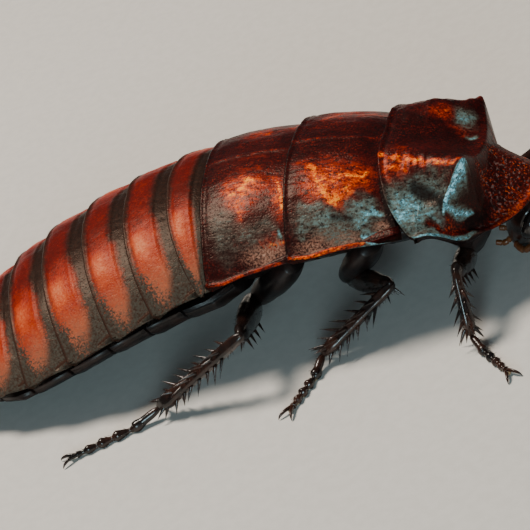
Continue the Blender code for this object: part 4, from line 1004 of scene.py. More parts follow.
legPlaces = {  # root and hip of the coxa, knee, ankle, toe
    "front_right": ((19.6, -4.9, 6.9), (17.6, -3.4, 3.1), (18.7, -12, 6.7), (18.6, -14.2, 1.2),
                    (22.4, -19.2)),
    "middle_right": ((9.2, -5.9, 7.1), (5, -3.4, 2.9), (11.6, -9.8, 5.3), (3.75, -12.9, 1.2), (1.6, -19)),
    "hind_right": ((1.2, -6.1, 7), (-4.4, -4.2, 2.9), (-1.7, -15.7, 6.9), (-12.2, -16.6, 1.2),
                   (-20.4, -20.6)),
    "front_left": ((19.6, 4.9, 6.9), (18, 3.4, 3.1), (23.8, 9.8, 4.7), (26.6, 13.6, 1.2), (30.5, 18)),
    "middle_left": ((9.2, 5.9, 7.1), (5, 3.4, 2.9), (9, 12.3, 6.3), (1.6, 16.8, 1.2), (-2.6, 22.2)),
    "hind_left": ((1.2, 6.1, 7), (-4.4, 4.2, 2.9), (-4.6, 15.8, 7.4), (-15.2, 20.6, 1.2), (-22.6, 25.8)),
}
legSizes = {
    "front": {"coxa": 1.55, "femur": 1.25, "tibia": 0.62, "tarsus": 0.42, "spines": 16},
    "middle": {"coxa": 1.65, "femur": 1.3, "tibia": 0.66, "tarsus": 0.44, "spines": 22},
    "hind": {"coxa": 1.75, "femur": 1.4, "tibia": 0.72, "tarsus": 0.46, "spines": 30},
}
legShape = {
    "coxaStops": [-0.16, 0.0, 0.25, 0.55, 0.82, 1.0],
    "coxaThick": [0.5, 0.72, 0.82, 0.74, 0.6, 0.3], "coxaWide": [0.85, 1.15, 1.3, 1.15, 0.85, 0.45],
    "femurStops": [-0.02, 0.04, 0.15, 0.36, 0.6, 0.82, 0.94, 1.01],
    "femurHeights": [0.30, 0.58, 0.84, 1.0, 0.92, 0.7, 0.6, 0.32],
    "tarsusStops": [0.0, 0.03, 0.07, 0.2, 0.32, 0.35, 0.44, 0.53, 0.56, 0.63, 0.7, 0.73, 0.79, 0.85, 0.88,
                    0.97],
    "tarsusWidths": [0.45, 0.7, 0.85, 0.95, 1.1, 0.62, 0.85, 1.08, 0.62, 0.85, 1.08, 0.62, 0.8, 0.95, 0.6,
                     0.75],
    "spineLength": 2.0, "spineRadius": 0.21, "soleHeight": 0.002,
    "spineRows": (0.6, 2.5, -0.7, -2.4),
}


def limbFrame(start, end):
    along = unit(np.asarray(end, float) - np.asarray(start, float))
    side = unit(np.cross(along, [0, 0, 1.0]))
    return along, side, np.cross(side, along)


def keptAboveFloor(roots, aims, lengths):
    # Shortens what points down so that its tip ends just above the floor
    fall = np.maximum(-aims[:, 2], 1e-6)
    return np.where(aims[:, 2] < 0, np.minimum(lengths, 0.95 * np.maximum(0, roots[:, 2] - 0.2) / fall),
                    lengths)


def bristles(centres, radii, frameAxes, count, lengthRange, rng, lean=0.8, span=(0.1, 0.95)):
    # Fine hairs from random places on a limb, leaning towards its tip
    along, side, top = frameAxes
    pick = rng.integers(int(span[0] * len(centres)), int(span[1] * len(centres)), count)
    angles = rng.uniform(0, 2 * np.pi, count)
    out = np.cos(angles)[:, None] * top + np.sin(angles)[:, None] * side
    roots = centres[pick] + out * (radii[pick] * 0.85)[:, None]
    roots[:, 2] = np.maximum(roots[:, 2], 0.08)
    aims = unit(out + along * lean)
    lengths = keptAboveFloor(roots, aims, rng.uniform(*lengthRange, count))
    return coneParts(roots, aims, lengths, np.full(count, 0.028), 0.0, 3, 3)


def makeLeg(place):
    root, hip, knee, ankle, toe = (np.array([*spot, 0.0][:3], float) for spot in legPlaces[place])
    sizes = legSizes[place.split("_")[0]]
    rng = np.random.default_rng(sum(map(ord, place)))
    label = "".join(word.capitalize() if n else word for n, word in enumerate(place.split("_")))

    share = np.linspace(-0.16, 1.0, 46)
    path = root + (hip - root) * share[:, None]
    thick = curveThrough(share, legShape["coxaStops"], legShape["coxaThick"]) * sizes["coxa"]
    wide = curveThrough(share, legShape["coxaStops"], legShape["coxaWide"]) * sizes["coxa"]
    rings = tubeRings(path, thick, wide, (0, 0, 1), 40)
    rings = rings + 0.04 * layeredNoise(rings, 1.4, 3, 51)[..., None] * unit(rings - path[:, None])
    finishPiece(f"{label}Coxa", [ringPart(rings)], "underShell", [f"coxa_{place}"], "underside")

    axes = limbFrame(hip, knee)
    share = np.linspace(-0.02, 1.01, 60)
    path = hip + (knee - hip) * share[:, None]
    tall = curveThrough(share, legShape["femurStops"], legShape["femurHeights"]) * sizes["femur"]
    rings = tubeRings(path, tall, 0.72 * tall, (0, 0, 1), 40)
    angles = np.arange(40) * 2 * np.pi / 40
    keel = 0.06 * bump(np.abs(np.angle(np.exp(1j * (angles - np.pi)))), 0.35, 0.12)[None, :]
    rings = rings + (keel + 0.03 * layeredNoise(rings, 0.9, 3, 52))[..., None] * unit(rings - path[:, None])
    parts = [ringPart(rings)]
    stops = np.array([0.40, 0.5, 0.6, 0.69, 0.77, 0.85, 0.92])
    swing = np.where(np.arange(7) % 2, 0.4, -0.4)
    out = unit(axes[1] * np.sin(swing)[:, None] - axes[2] * np.cos(swing)[:, None])
    depth = np.interp(stops, legShape["femurStops"], legShape["femurHeights"]) * sizes["femur"] * 0.8
    roots = hip + (knee - hip) * stops[:, None] + out * depth[:, None]
    aims = unit(out + axes[0] * 0.55)
    parts += coneParts(roots, aims, keptAboveFloor(roots, aims, np.full(7, 1.25)), np.full(7, 0.17), 0.05,
                       10, 7)
    parts += bristles(path, 0.85 * tall, axes, 60, (0.25, 0.5), rng, 1.1)
    finishPiece(f"{label}Femur", parts, "legShell", [f"femur_{place}"], "legs")

    axes = limbFrame(knee, ankle)
    length = np.linalg.norm(ankle - knee)
    start = knee - axes[0] * 0.25
    at = np.linspace(0, length + 0.15, 64)
    path = start + axes[0] * at[:, None]
    tall = curveThrough(at, [0, 0.5, 1.2, 2.1, length - 2.4, length - 0.8, length + 0.15],
                        [0.28, 0.62, 0.78, 0.80, 0.92, 1.02, 0.55]) * sizes["tibia"]
    rings = tubeRings(path, tall, 0.9 * tall, (0, 0, 1), 32)
    angles = np.arange(32) * 2 * np.pi / 32
    edges = 0.05 * np.cos(angles * 4)[None, :]
    swelling = edges + 0.02 * layeredNoise(rings, 0.6, 2, 53)
    rings = rings + swelling[..., None] * unit(rings - path[:, None])
    parts = [ringPart(rings)]
    count = sizes["spines"]
    order = np.arange(count)
    stops = 0.17 + 0.68 * order / (count - 1)
    turn = np.array(legShape["spineRows"])[order % 4] + rng.normal(0, 0.14, count)
    out = unit(axes[2] * np.cos(turn)[:, None] + axes[1] * np.sin(turn)[:, None])
    roots = knee + (ankle - knee) * stops[:, None] + out * sizes["tibia"] * 0.62
    aims = unit(out * 0.8 + axes[0] * rng.uniform(0.6, 0.9, count)[:, None])
    lengths = legShape["spineLength"] * rng.uniform(0.62, 1.05, count)
    parts += coneParts(roots, aims, keptAboveFloor(roots, aims, lengths),
                       legShape["spineRadius"] * rng.uniform(0.8, 1.0, count), 0.05, 10, 8)
    toeWay = toe - ankle
    toeTurn = math.atan2(toeWay @ axes[1], toeWay @ axes[2])
    spurs = toeTurn + np.array([-2.7, -1.8, -0.95, 0.95, 1.8, 2.7])
    out = unit(axes[2] * np.cos(spurs)[:, None] + axes[1] * np.sin(spurs)[:, None])
    roots = ankle - axes[0] * 0.85 + out * sizes["tibia"] * 0.6
    aims = unit(out * 0.62 + axes[0] * 0.9)
    spurLengths = np.array([1.0, 0.8, 0.65, 0.65, 0.8, 1.0]) * 2.1
    parts += coneParts(roots, aims, keptAboveFloor(roots, aims, spurLengths),
                       np.full(6, 0.2), 0.05, 10, 8)
    parts += bristles(path, tall, axes, 110, (0.25, 0.6), rng)
    finishPiece(f"{label}Tibia", parts, "legShell", [f"tibia_{place}"], "legs")
    makeFoot(place, label, ankle, toe, sizes["tarsus"], rng)


def makeFoot(place, label, ankle, toe, size, rng):
    # Five joints and their pads pressed flat on the floor, with two hooked claws and a soft pad between
    stops = np.array(legShape["tarsusStops"])
    share = np.linspace(0, 0.97, 96)
    path = ankle + (toe - ankle) * share[:, None]
    path[:, 2] = np.interp(share, [0, 0.32, 1], [ankle[2], 0.8 * size, 0.85 * size])
    wide = curveThrough(share, stops, legShape["tarsusWidths"]) * size
    rings = tubeRings(path, wide, 0.92 * wide, (0, 0, 1), 24)
    rings[..., 2] = np.maximum(rings[..., 2], legShape["soleHeight"])
    parts = [ringPart(rings)]
    ahead = unit((toe - ankle) * [1, 1, 0])
    across = np.cross([0, 0, 1.0], ahead)
    for stop in (0.32, 0.52, 0.69, 0.84):
        middle = ankle + (toe - ankle) * stop
        at = np.linspace(-1, 1, 12)
        line = middle + ahead * (at * 0.42)[:, None] + np.array([0, 0, 0.16 - middle[2]])
        pad = np.sqrt(np.maximum(0.02, 1 - at**2)) * size * 0.62
        rings = tubeRings(line, pad * 0.5, pad, (0, 0, 1), 16)
        rings[..., 2] = np.maximum(rings[..., 2], legShape["soleHeight"])
        parts.append(ringPart(rings, {"paleMask": np.full(rings.shape[:2], 1.0)}))
    end = path[-1]
    for turn in (-1, 1):
        hook = np.array([end - ahead * 0.1, end + ahead * 0.8 + across * turn * 0.32 + [0, 0, 0.14],
                         end + ahead * 1.4 + across * turn * 0.62 - [0, 0, 0.02],
                         end + ahead * 1.65 + across * turn * 0.75 - [0, 0, 0.3]])
        at = np.linspace(0, 3, 22)
        rings = tubeRings(curveThrough(at, range(4), hook),
                          curveThrough(at, range(4), [0.2, 0.18, 0.12, 0.02]),
                          curveThrough(at, range(4), [0.17, 0.15, 0.1, 0.02]), (0, 0, 1), 12)
        rings[..., 2] = np.maximum(rings[..., 2], legShape["soleHeight"])
        parts.append(ringPart(rings))
    at = np.linspace(0, 1, 12)
    line = end + ahead * (at * 0.75)[:, None] - np.array([0, 0, 1.0]) * (at * 0.12)[:, None]
    pad = 0.26 * np.sqrt(np.maximum(0.02, 1 - (2 * at - 1) ** 2))
    parts.append(ringPart(tubeRings(line, 0.5 * pad, pad, (0, 0, 1), 16),
                          {"paleMask": np.full((12, 16), 0.8)}))
    axes = (unit(toe - ankle), across, np.array([0, 0, 1.0]))
    parts += bristles(path, wide, axes, 90, (0.2, 0.45), rng, 0.9, (0.05, 0.95))
    finishPiece(f"{label}Foot", parts, "legShell", [f"tarsus_{place}"], "legs")


# Materials

colours = {
    # Painted reflection of the cool lamp: dark brown and olive through teal to cyan
    "coolReflectionStops": [(0.0, (0.022, 0.017, 0.014)), (0.32, (0.065, 0.058, 0.045)), (0.58, (0.10, 0.14, 0.13)),
                   (0.82, (0.11, 0.30, 0.36)), (1.0, (0.42, 0.85, 1.0))],
    # The shell's mahogany and red, rising to orange and yellow that are painted warm highlight
    "redToHighlightStops": [(0.0, (0.012, 0.0028, 0.003)), (0.22, (0.060, 0.005, 0.004)),
                  (0.45, (0.26, 0.016, 0.003)),
                  (0.72, (0.68, 0.080, 0.003)), (1.0, (1.0, 0.30, 0.015))],
    # Painted pale highlights, brown through pink to cream
    "paleHighlightStops": [(0.0, (0.05, 0.022, 0.018)), (0.5, (0.22, 0.095, 0.062)), (1.0, (0.42, 0.25, 0.18))],
    # The band's own reds and orange, with the painted highlight pushing it towards the pale end
    "bandStops": [(0.0, (0.03, 0.004, 0.003)), (0.28, (0.10, 0.0045, 0.003)), (0.5, (0.27, 0.015, 0.004)),
                  (0.75, (0.42, 0.055, 0.014)), (1.0, (0.60, 0.18, 0.075))],
    # Black for pores, dark parts and painted shade; the grey glint is a painted highlight
    "pitAndShadeBlack": (0.006, 0.004, 0.004), "greyGlint": (0.24, 0.12, 0.10), "bandEnd": (0.27, 0.125, 0.07),
    # The strip before each band: painted shade near the top, a painted olive-grey cool reflection on the
    # flank
    "stripShade": (0.010, 0.006, 0.005), "stripCoolReflection": (0.052, 0.047, 0.037),
    "rimBrown": (0.030, 0.012, 0.008),
    "underBrown": (0.022, 0.010, 0.008), "underBlack": (0.006, 0.004, 0.004),
    "headDark": (0.012, 0.005, 0.004), "headBrown": (0.05, 0.013, 0.007), "headAmber": (0.26, 0.08, 0.02),
    "legBlack": (0.007, 0.0045, 0.004), "legBrown": (0.035, 0.012, 0.007), "padPale": (0.30, 0.22, 0.13),
    "lensCentre": (0.016, 0.010, 0.008), "lensEdge": (0.005, 0.003, 0.003),
    "feelerBrown": (0.035, 0.014, 0.008), "feelerPale": (0.12, 0.05, 0.025), "skinGrey": (0.16, 0.11, 0.08),
}


def nodeGroup(name, inputs, outputs):
    group = bpy.data.node_groups.new(name, "ShaderNodeTree")
    for socket, kind, value in inputs:
        made = group.interface.new_socket(socket, in_out="INPUT", socket_type=kind)
        if value is not None:
            made.default_value = value
    for socket, kind in outputs:
        group.interface.new_socket(socket, in_out="OUTPUT", socket_type=kind)
    return group, group.nodes.new("NodeGroupInput"), group.nodes.new("NodeGroupOutput")


class Tree:
    # Short calls for adding nodes to one node tree and linking them
    def __init__(self, tree):
        self.tree = tree

    def add(self, kind, values=None, **settings):
        node = self.tree.nodes.new(kind)
        for key, value in settings.items():
            setattr(node, key, value)
        for key, value in (values or {}).items():
            if isinstance(value, bpy.types.NodeSocket):
                self.tree.links.new(value, node.inputs[key])
            else:
                node.inputs[key].default_value = value
        return node

    def math(self, operation, first, second=None, clamp=False):
        values = {0: first} if second is None else {0: first, 1: second}
        return self.add("ShaderNodeMath", values, operation=operation, use_clamp=clamp).outputs[0]

    def ramp(self, value, low, high):
        return self.add("ShaderNodeMapRange", {0: value, 1: low, 2: high},
                        interpolation_type="SMOOTHSTEP").outputs[0]

    def mix(self, share, first, second):
        node = self.tree.nodes.new("ShaderNodeMix")
        node.data_type = "RGBA"
        for socket, value in ((node.inputs[0], share), (node.inputs[6], first), (node.inputs[7], second)):
            if isinstance(value, bpy.types.NodeSocket):
                self.tree.links.new(value, socket)
            else:
                socket.default_value = (*value, 1.0) if isinstance(value, tuple) else value
        return node.outputs[2]

    def colourRamp(self, value, stops):
        node = self.add("ShaderNodeValToRGB", {0: value})
        elements = node.color_ramp.elements
        while len(elements) < len(stops):
            elements.new(0.5)
        for element, (place, colour) in zip(elements, stops):
            element.position, element.color = place, (*colour, 1.0)
        return node.outputs[0]

    def mask(self, name):
        return self.add("ShaderNodeAttribute", attribute_name=name).outputs["Fac"]

    def noise(self, vector, scale, detail=3.0, roughness=0.55, distortion=0.0):
        values = {"Vector": vector, "Scale": scale, "Detail": detail, "Roughness": roughness,
                  "Distortion": distortion}
        return self.add("ShaderNodeTexNoise", values).outputs["Fac"]


def makeShellGrain():
    # Height of fine shell: pores from Voronoi cells and wrinkles from noise stretched along the body
    group, inlet, outlet = nodeGroup("shellGrain", [
        ("Vector", "NodeSocketVector", None), ("Pore size", "NodeSocketFloat", 3200.0),
        ("Pores", "NodeSocketFloat", 0.5), ("Wrinkle size", "NodeSocketFloat", 1300.0),
        ("Wrinkles", "NodeSocketFloat", 0.5),
    ], [("Height", "NodeSocketFloat"), ("Mottle", "NodeSocketFloat"), ("Streaks", "NodeSocketFloat")])
    tree = Tree(group)
    cells = tree.add("ShaderNodeTexVoronoi",
                     {"Vector": inlet.outputs[0], "Scale": inlet.outputs[1]}).outputs["Distance"]
    pores = tree.math("MULTIPLY", tree.ramp(cells, 0.0, 0.55), inlet.outputs[2])
    stretched = tree.add("ShaderNodeMapping", {0: inlet.outputs[0]})
    stretched.inputs["Rotation"].default_value = (0.0, 0.0, 0.35)
    stretched.inputs["Scale"].default_value = (0.4, 1.0, 1.0)
    streaks = tree.noise(stretched.outputs[0], inlet.outputs[3], 4.0, 0.65, 0.5)
    lined = tree.math("MULTIPLY", streaks, inlet.outputs[4])
    group.links.new(tree.math("ADD", pores, lined), outlet.inputs[0])
    group.links.new(tree.noise(inlet.outputs[0], 420.0, 5.0, 0.62), outlet.inputs[1])
    group.links.new(streaks, outlet.inputs[2])
    return group


def makeSpottedMask():
    # How strong a mask shows: the mask times a floor plus a gain of ramped noise, so that it breaks into
    # fine spots
    group, inlet, outlet = nodeGroup("spottedMask", [
        ("Mask", "NodeSocketFloat", 0.0), ("Texture", "NodeSocketFloat", 0.5),
        ("Floor", "NodeSocketFloat", 0.4), ("Gain", "NodeSocketFloat", 1.0),
    ], [("Mask", "NodeSocketFloat")])
    tree = Tree(group)
    gained = tree.math("MULTIPLY", tree.ramp(inlet.outputs[1], 0.36, 0.68), inlet.outputs[3])
    total = tree.math("ADD", gained, inlet.outputs[2])
    group.links.new(tree.math("MULTIPLY", total, inlet.outputs[0], clamp=True), outlet.inputs[0])
    return group


groups = {}


def startMaterial(name, roughness, coat=0.0, gloss=0.5, tint=(1.0, 1.0, 1.0)):
    material = bpy.data.materials.new(name)
    material.use_nodes = True
    tree = Tree(material.node_tree)
    shader = material.node_tree.nodes["Principled BSDF"]
    shader.inputs["Roughness"].default_value = roughness
    shader.inputs["Coat Weight"].default_value = coat
    shader.inputs["Coat Roughness"].default_value = 0.12
    shader.inputs["Specular IOR Level"].default_value = gloss
    shader.inputs["Specular Tint"].default_value = (*tint, 1.0)
    coords = tree.add("ShaderNodeTexCoord").outputs["Object"]
    materials[name] = material
    return tree, shader, coords


def addGroup(tree, group, **values):
    node = tree.tree.nodes.new("ShaderNodeGroup")
    node.node_tree = groups[group]
    for key, value in values.items():
        socket = node.inputs[key.replace("_", " ")]
        if isinstance(value, bpy.types.NodeSocket):
            tree.tree.links.new(value, socket)
        else:
            socket.default_value = value
    return node.outputs


def bumpTo(tree, shader, height, strength, distance):
    node = tree.add("ShaderNodeBump", {"Height": height, "Strength": strength, "Distance": distance})
    tree.tree.links.new(node.outputs[0], shader.inputs["Normal"])


def makeThoraxShell():
    # One value from mahogany through red to painted amber highlight, one painted cool reflection from olive
    # through teal to cyan
    tree, shader, coords = startMaterial("thoraxShell", 0.35, 0.0, 0.13, (1.0, 0.7, 0.55))
    grain = addGroup(tree, "shellGrain", Vector=coords, Pore_size=3600.0, Pores=0.4, Wrinkle_size=2600.0,
                     Wrinkles=0.9)
    fine = tree.noise(coords, 5200.0, 3.0, 0.6)
    texture = tree.math("ADD", tree.math("MULTIPLY", grain[2], 0.65), tree.math("MULTIPLY", fine, 0.35))
    redAndHighlight = addGroup(tree, "spottedMask", Mask=tree.mask("warmMask"), Texture=texture, Floor=0.36,
                    Gain=0.85)[0]
    speckle = tree.math("MULTIPLY", tree.ramp(fine, 0.46, 0.72), 0.30)
    speckle = tree.math("MULTIPLY", speckle, tree.ramp(grain[1], 0.35, 0.6))
    redness = tree.math("ADD", tree.math("MULTIPLY", tree.mask("redMask"), 0.30), 0.05)
    redAndHighlight = tree.math("MAXIMUM", redAndHighlight,
        tree.math("ADD", speckle, tree.math("MULTIPLY", redness, tree.ramp(texture, 0.3, 0.62))))
    # Painted glints: red, orange and grey highlights on the grains of the front field
    glints = tree.ramp(tree.noise(coords, 4600.0, 1.0, 0.5), 0.55, 0.70)
    glintStrength = tree.math("ADD", tree.math("MULTIPLY", tree.ramp(grain[1], 0.4, 0.66), 0.4), 0.38)
    redAndHighlight = tree.math("MAXIMUM", redAndHighlight, tree.math("MULTIPLY", tree.math("MULTIPLY", glints, glintStrength),
                                                tree.mask("grainMask")))
    base = tree.colourRamp(redAndHighlight, colours["redToHighlightStops"])
    greyGlints = tree.math("MULTIPLY", tree.ramp(tree.noise(coords, 3700.0, 1.0, 0.5), 0.56, 0.72),
                           tree.mask("grainMask"))
    base = tree.mix(tree.math("MULTIPLY", greyGlints, 0.75), base, colours["greyGlint"])
    # Painted pale highlights on the lower flanks, rougher than the rest
    paleHighlight = addGroup(tree, "spottedMask", Mask=tree.mask("pinkMask"), Texture=fine, Floor=0.35, Gain=0.8)[0]
    base = tree.mix(tree.ramp(paleHighlight, 0.05, 0.4), base, tree.colourRamp(paleHighlight, colours["paleHighlightStops"]))
    # Painted highlights and reflections of the cool lamp
    coolReflection = addGroup(tree, "spottedMask", Mask=tree.mask("coolMask"), Texture=texture, Floor=0.5,
                    Gain=0.6)[0]
    base = tree.mix(tree.ramp(coolReflection, 0.08, 0.45), base, tree.colourRamp(coolReflection, colours["coolReflectionStops"]))
    # Painted shade: the knob faces, the flank pit, the rim groove and the joints between plates, and the
    # shield's darkened underside
    dark = tree.math("MAXIMUM", tree.mask("darkMask"), tree.mask("grooveMask"))
    base = tree.mix(tree.math("MULTIPLY", tree.ramp(dark, 0.1, 0.9), 0.9), base, colours["pitAndShadeBlack"])
    pits = tree.ramp(tree.noise(coords, 3000.0, 2.0, 0.7), 0.47, 0.33)
    base = tree.mix(tree.math("MULTIPLY", pits, 0.8), base, colours["pitAndShadeBlack"])
    tree.tree.links.new(base, shader.inputs["Base Color"])
    rough = tree.math("ADD", tree.math("MULTIPLY", texture, 0.25), 0.22)
    rough = tree.math("ADD", rough, tree.math("MULTIPLY", paleHighlight, 0.15))
    rough = tree.math("ADD", rough, tree.math("MULTIPLY", tree.mask("grainMask"), 0.25))
    tree.tree.links.new(rough, shader.inputs["Roughness"])
    bumpTo(tree, shader, grain[0], 0.6, 0.00007)


def makeAbdomenShell():
    # A band lies across each plate between a front and a rear edge that draw together towards the margin
    tree, shader, coords = startMaterial("abdomenShell", 0.45, 0.0, 0.14, (1.0, 0.66, 0.48))
    grain = addGroup(tree, "shellGrain", Vector=coords, Pore_size=4200.0, Pores=0.5, Wrinkle_size=2300.0,
                     Wrinkles=0.6)
    wobble = tree.math("SUBTRACT", tree.noise(coords, 800.0, 4.0, 0.65), 0.5)
    grit = tree.math("SUBTRACT", tree.noise(coords, 4800.0, 3.0, 0.7), 0.5)
    grit = tree.math("MULTIPLY", grit,
        tree.math("ADD", tree.math("MULTIPLY", tree.ramp(tree.mask("sideShare"), 0.45, 0.85), 0.9), 0.15))
    length = tree.math("ADD", tree.mask("lengthShare"), tree.math("MULTIPLY", wobble, 0.2))
    length = tree.math("ADD", length, tree.math("MULTIPLY", grit, 0.5))
    side = tree.math("ADD", tree.mask("sideShare"), tree.math("MULTIPLY", wobble, 0.14))
    side = tree.math("ADD", side, tree.math("MULTIPLY", grit, 0.35))
    bandFront = tree.math("SUBTRACT", 0.40, tree.math("MULTIPLY", tree.ramp(side, 0.2, 0.5), 0.14))
    bandFront = tree.math("ADD", bandFront, tree.math("MULTIPLY", tree.ramp(side, 0.76, 1.0), 0.16))
    bandRear = tree.math("SUBTRACT", 0.92, tree.math("MULTIPLY", tree.ramp(side, 0.62, 1.0), 0.27))
    entering = tree.ramp(tree.math("SUBTRACT", length, bandFront), -0.08, 0.12)
    leaving = tree.ramp(tree.math("SUBTRACT", bandRear, length), -0.08, 0.12)
    band = tree.math("MULTIPLY", tree.math("MULTIPLY", entering, leaving), tree.ramp(side, 0.99, 0.84))
    warmth = tree.math("ADD", tree.math("MULTIPLY", tree.ramp(side, 0.22, 0.55), 0.30), 0.27)
    # A painted pale highlight on the band's flank, about two thirds of the way back
    highlightAlong = tree.math("MULTIPLY", tree.ramp(length, 0.42, 0.66), tree.ramp(length, 0.92, 0.72))
    highlightAcross = tree.math("MULTIPLY", tree.ramp(side, 0.36, 0.5), tree.ramp(side, 0.72, 0.56))
    warmth = tree.math("ADD", warmth, tree.math("MULTIPLY", tree.math("MULTIPLY", highlightAlong, highlightAcross),
                                                0.26))
    speck = tree.math("MULTIPLY", tree.math("SUBTRACT", tree.noise(coords, 4300.0, 3.0, 0.65), 0.5), 0.55)
    blotch = tree.math("MULTIPLY", tree.math("SUBTRACT", grain[1], 0.5), 0.45)
    warmth = tree.math("ADD", warmth, tree.math("ADD", speck, blotch))
    # The strip: painted shade near the top, where it lies under the plate before, turning to painted cool
    # reflection on the flank
    strip = tree.mix(tree.ramp(side, 0.3, 0.75), colours["stripShade"], colours["stripCoolReflection"])
    strip = tree.mix(tree.ramp(speck, -0.1, 0.14), strip, colours["rimBrown"])
    fading = tree.math("MULTIPLY", tree.ramp(side, 0.62, 0.92), 0.6)
    base = tree.mix(band, strip, tree.mix(fading, tree.colourRamp(warmth, colours["bandStops"]),
                                          colours["bandEnd"]))
    rim = tree.ramp(tree.mask("lengthShare"), 0.93, 0.975)
    base = tree.mix(tree.math("MULTIPLY", rim, 0.9), base, colours["rimBrown"])
    tree.tree.links.new(base, shader.inputs["Base Color"])
    rough = tree.math("ADD", tree.math("MULTIPLY", grain[2], 0.28), 0.27)
    tree.tree.links.new(rough, shader.inputs["Roughness"])
    bumpTo(tree, shader, grain[0], 0.5, 0.00006)


def makePlainShell(name, dark, light, pale, roughness, bumpHeight, coat=0.0, gloss=0.5):
    # A two-toned shell with grain, and a paler finish where paleMask says
    tree, shader, coords = startMaterial(name, roughness, coat, gloss)
    grain = addGroup(tree, "shellGrain", Vector=coords, Pore_size=4000.0, Pores=0.4, Wrinkle_size=1800.0,
                     Wrinkles=0.35)
    base = tree.mix(tree.ramp(grain[1], 0.4, 0.68), colours[dark], colours[light])
    base = tree.mix(tree.mask("paleMask"), base, colours[pale])
    base = tree.mix(tree.math("MULTIPLY", tree.mask("darkMask"), 0.8), base, colours["pitAndShadeBlack"])
    tree.tree.links.new(base, shader.inputs["Base Color"])
    rough = tree.math("ADD", tree.math("MULTIPLY", grain[1], 0.2), roughness - 0.1)
    tree.tree.links.new(rough, shader.inputs["Roughness"])
    bumpTo(tree, shader, grain[0], 0.35, bumpHeight)


def makeEyeGloss():
    # Near-black lenses: hexagon-like cells raise the bump and lighten the colour a little
    tree, shader, coords = startMaterial("eyeGloss", 0.12, 0.6)
    cells = tree.add("ShaderNodeTexVoronoi", {"Vector": coords, "Scale": 9000.0}).outputs["Distance"]
    base = tree.mix(tree.ramp(cells, 0.2, 0.7), colours["lensCentre"], colours["lensEdge"])
    tree.tree.links.new(base, shader.inputs["Base Color"])
    bumpTo(tree, shader, tree.math("SUBTRACT", 1.0, cells), 0.3, 0.00003)


def makeFeelerShell():
    tree, shader, coords = startMaterial("feelerShell", 0.5)
    grain = addGroup(tree, "shellGrain", Vector=coords, Pore_size=6000.0, Pores=0.5, Wrinkle_size=3000.0,
                     Wrinkles=0.3)
    base = tree.mix(tree.ramp(grain[1], 0.4, 0.65), colours["feelerBrown"], colours["feelerPale"])
    base = tree.mix(tree.math("MULTIPLY", tree.mask("ringMask"), 0.5), base, colours["pitAndShadeBlack"])
    tree.tree.links.new(base, shader.inputs["Base Color"])
    rough = tree.math("ADD", tree.math("MULTIPLY", grain[1], 0.25), 0.4)
    tree.tree.links.new(rough, shader.inputs["Roughness"])
    bumpTo(tree, shader, grain[0], 0.3, 0.00003)


def makeMaterials():
    groups["shellGrain"] = makeShellGrain()
    groups["spottedMask"] = makeSpottedMask()
    makeThoraxShell()
    makeAbdomenShell()
    makePlainShell("underShell", "underBlack", "underBrown", "headAmber", 0.42, 0.00005, 0.0, 0.35)
    makePlainShell("headShell", "headDark", "headBrown", "headAmber", 0.3, 0.00004, 0.2)
    makePlainShell("legShell", "legBlack", "legBrown", "padPale", 0.24, 0.00004, 0.15, 0.4)
    makePlainShell("softSkin", "underBrown", "skinGrey", "padPale", 0.6, 0.00008)
    makeEyeGloss()
    makeFeelerShell()
    print("stage: materials,", len(materials))


# Studio

studio = {
    "azimuth": 25.81, "elevation": 30.29, "roll": 25.03,  # degrees, of the photograph's view
    "target": (-3.95, 0.0, 3.79), "distance": 258.11,  # mm, in the animal's own frame
    "lens": 181.12, "sensor": 36.0,
    "floorColour": (0.62, 0.60, 0.57), "world": (0.80, 0.83, 0.88), "worldStrength": 0.10,
    "lights": {  # direction towards the light, distance in mm, size in mm, watts, colour
        "keyAbove": ((-0.38, 0.10, 0.92), 420.0, 150.0, 2.6, (1.0, 0.90, 0.78)),
        "coolSide": ((0.18, -0.95, 0.26), 420.0, 140.0, 1.0, (0.66, 0.92, 1.0)),
    },
}


def viewAxes(azimuth, elevation, roll):
    # Right, up and back of a camera at this azimuth and elevation, turned about its line of sight
    a, e, r = (math.radians(value) for value in (azimuth, elevation, roll))
    back = np.array([math.sin(a) * math.cos(e), -math.cos(a) * math.cos(e), math.sin(e)])
    right = unit(np.cross([0, 0, 1.0], back))
    up = np.cross(back, right)
    return math.cos(r) * right - math.sin(r) * up, math.sin(r) * right + math.cos(r) * up, back


def placedObject(name, data, right, up, back, place):
    made = bpy.data.objects.new(name, data)
    bpy.context.scene.collection.objects.link(made)
    matrix = np.eye(4)
    matrix[:3, :3] = np.stack([right, up, back], 1)
    matrix[:3, 3] = np.asarray(place) * 0.001
    made.matrix_world = Matrix(matrix.tolist())
    return made


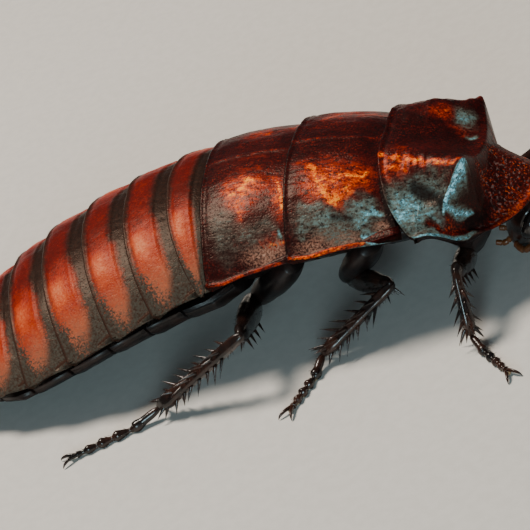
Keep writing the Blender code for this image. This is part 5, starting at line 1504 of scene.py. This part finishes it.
def makeStudio():
    camera = bpy.data.cameras.new("photoView")
    camera.lens, camera.sensor_width = studio["lens"], studio["sensor"]
    camera.clip_start = 0.005
    right, up, back = viewAxes(studio["azimuth"], studio["elevation"], studio["roll"])
    place = np.array(studio["target"]) + bodyShift + back * studio["distance"]
    bpy.context.scene.camera = placedObject("photoView", camera, right, up, back, place)
    for name, (toward, distance, size, watts, colour) in studio["lights"].items():
        light = bpy.data.lights.new(name, "AREA")
        light.shape, light.size, light.energy, light.color = "DISK", size * 0.001, watts, colour
        back = unit(toward)
        right = unit(np.cross([0, 1.0, 0], back))
        placedObject(name, light, right, np.cross(back, right), back, back * distance + [0, 0, 8])
    world = bpy.data.worlds.new("softRoom")
    bpy.context.scene.world = world
    world.use_nodes = True
    sky = world.node_tree.nodes["Background"]
    sky.inputs[0].default_value = (*studio["world"], 1)
    sky.inputs[1].default_value = studio["worldStrength"]
    mesh = bpy.data.meshes.new("paleFloor")
    mesh.from_pydata([(-2, -2, 0), (2, -2, 0), (2, 2, 0), (-2, 2, 0)], [], [(0, 1, 2, 3)])
    tree, shader, coords = startMaterial("floorFinish", 0.75)
    speck = tree.ramp(tree.noise(coords, 900.0, 3.0), 0.3, 0.7)
    shade = tuple(value * 0.94 for value in studio["floorColour"])
    tree.tree.links.new(tree.mix(speck, studio["floorColour"], shade), shader.inputs["Base Color"])
    mesh.materials.append(materials["floorFinish"])
    floor = bpy.data.objects.new("paleFloor", mesh)
    bpy.context.scene.collection.objects.link(floor)
    print("stage: studio")


def findShift():
    # The solids' pronotum is even about the body's middle, and its front tip was drawn at solidFrontTip
    low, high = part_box("pronotum")
    return np.array([high.x * 1000 - shield["solidFrontTip"], (low.y + high.y) * 500, 0.0])


bodyShift = findShift()
print("stage: place found", bodyShift.round(3).tolist())
makeStudio()
makeMaterials()
makeShield()
print("stage: shield")
for plateIndex in range(1, 10):
    makePlate(plateIndex)
makeTailPlate()
print("stage: plates of the back")
makeUndersides()
makeHead()
makeNeck()
print("stage: underside, head and neck")
for feelerSide in (-1, 1):
    makeAntenna(feelerSide)
    makeCercus(feelerSide)
print("stage: feelers")
for legPlace in legPlaces:
    makeLeg(legPlace)
print("stage: legs")
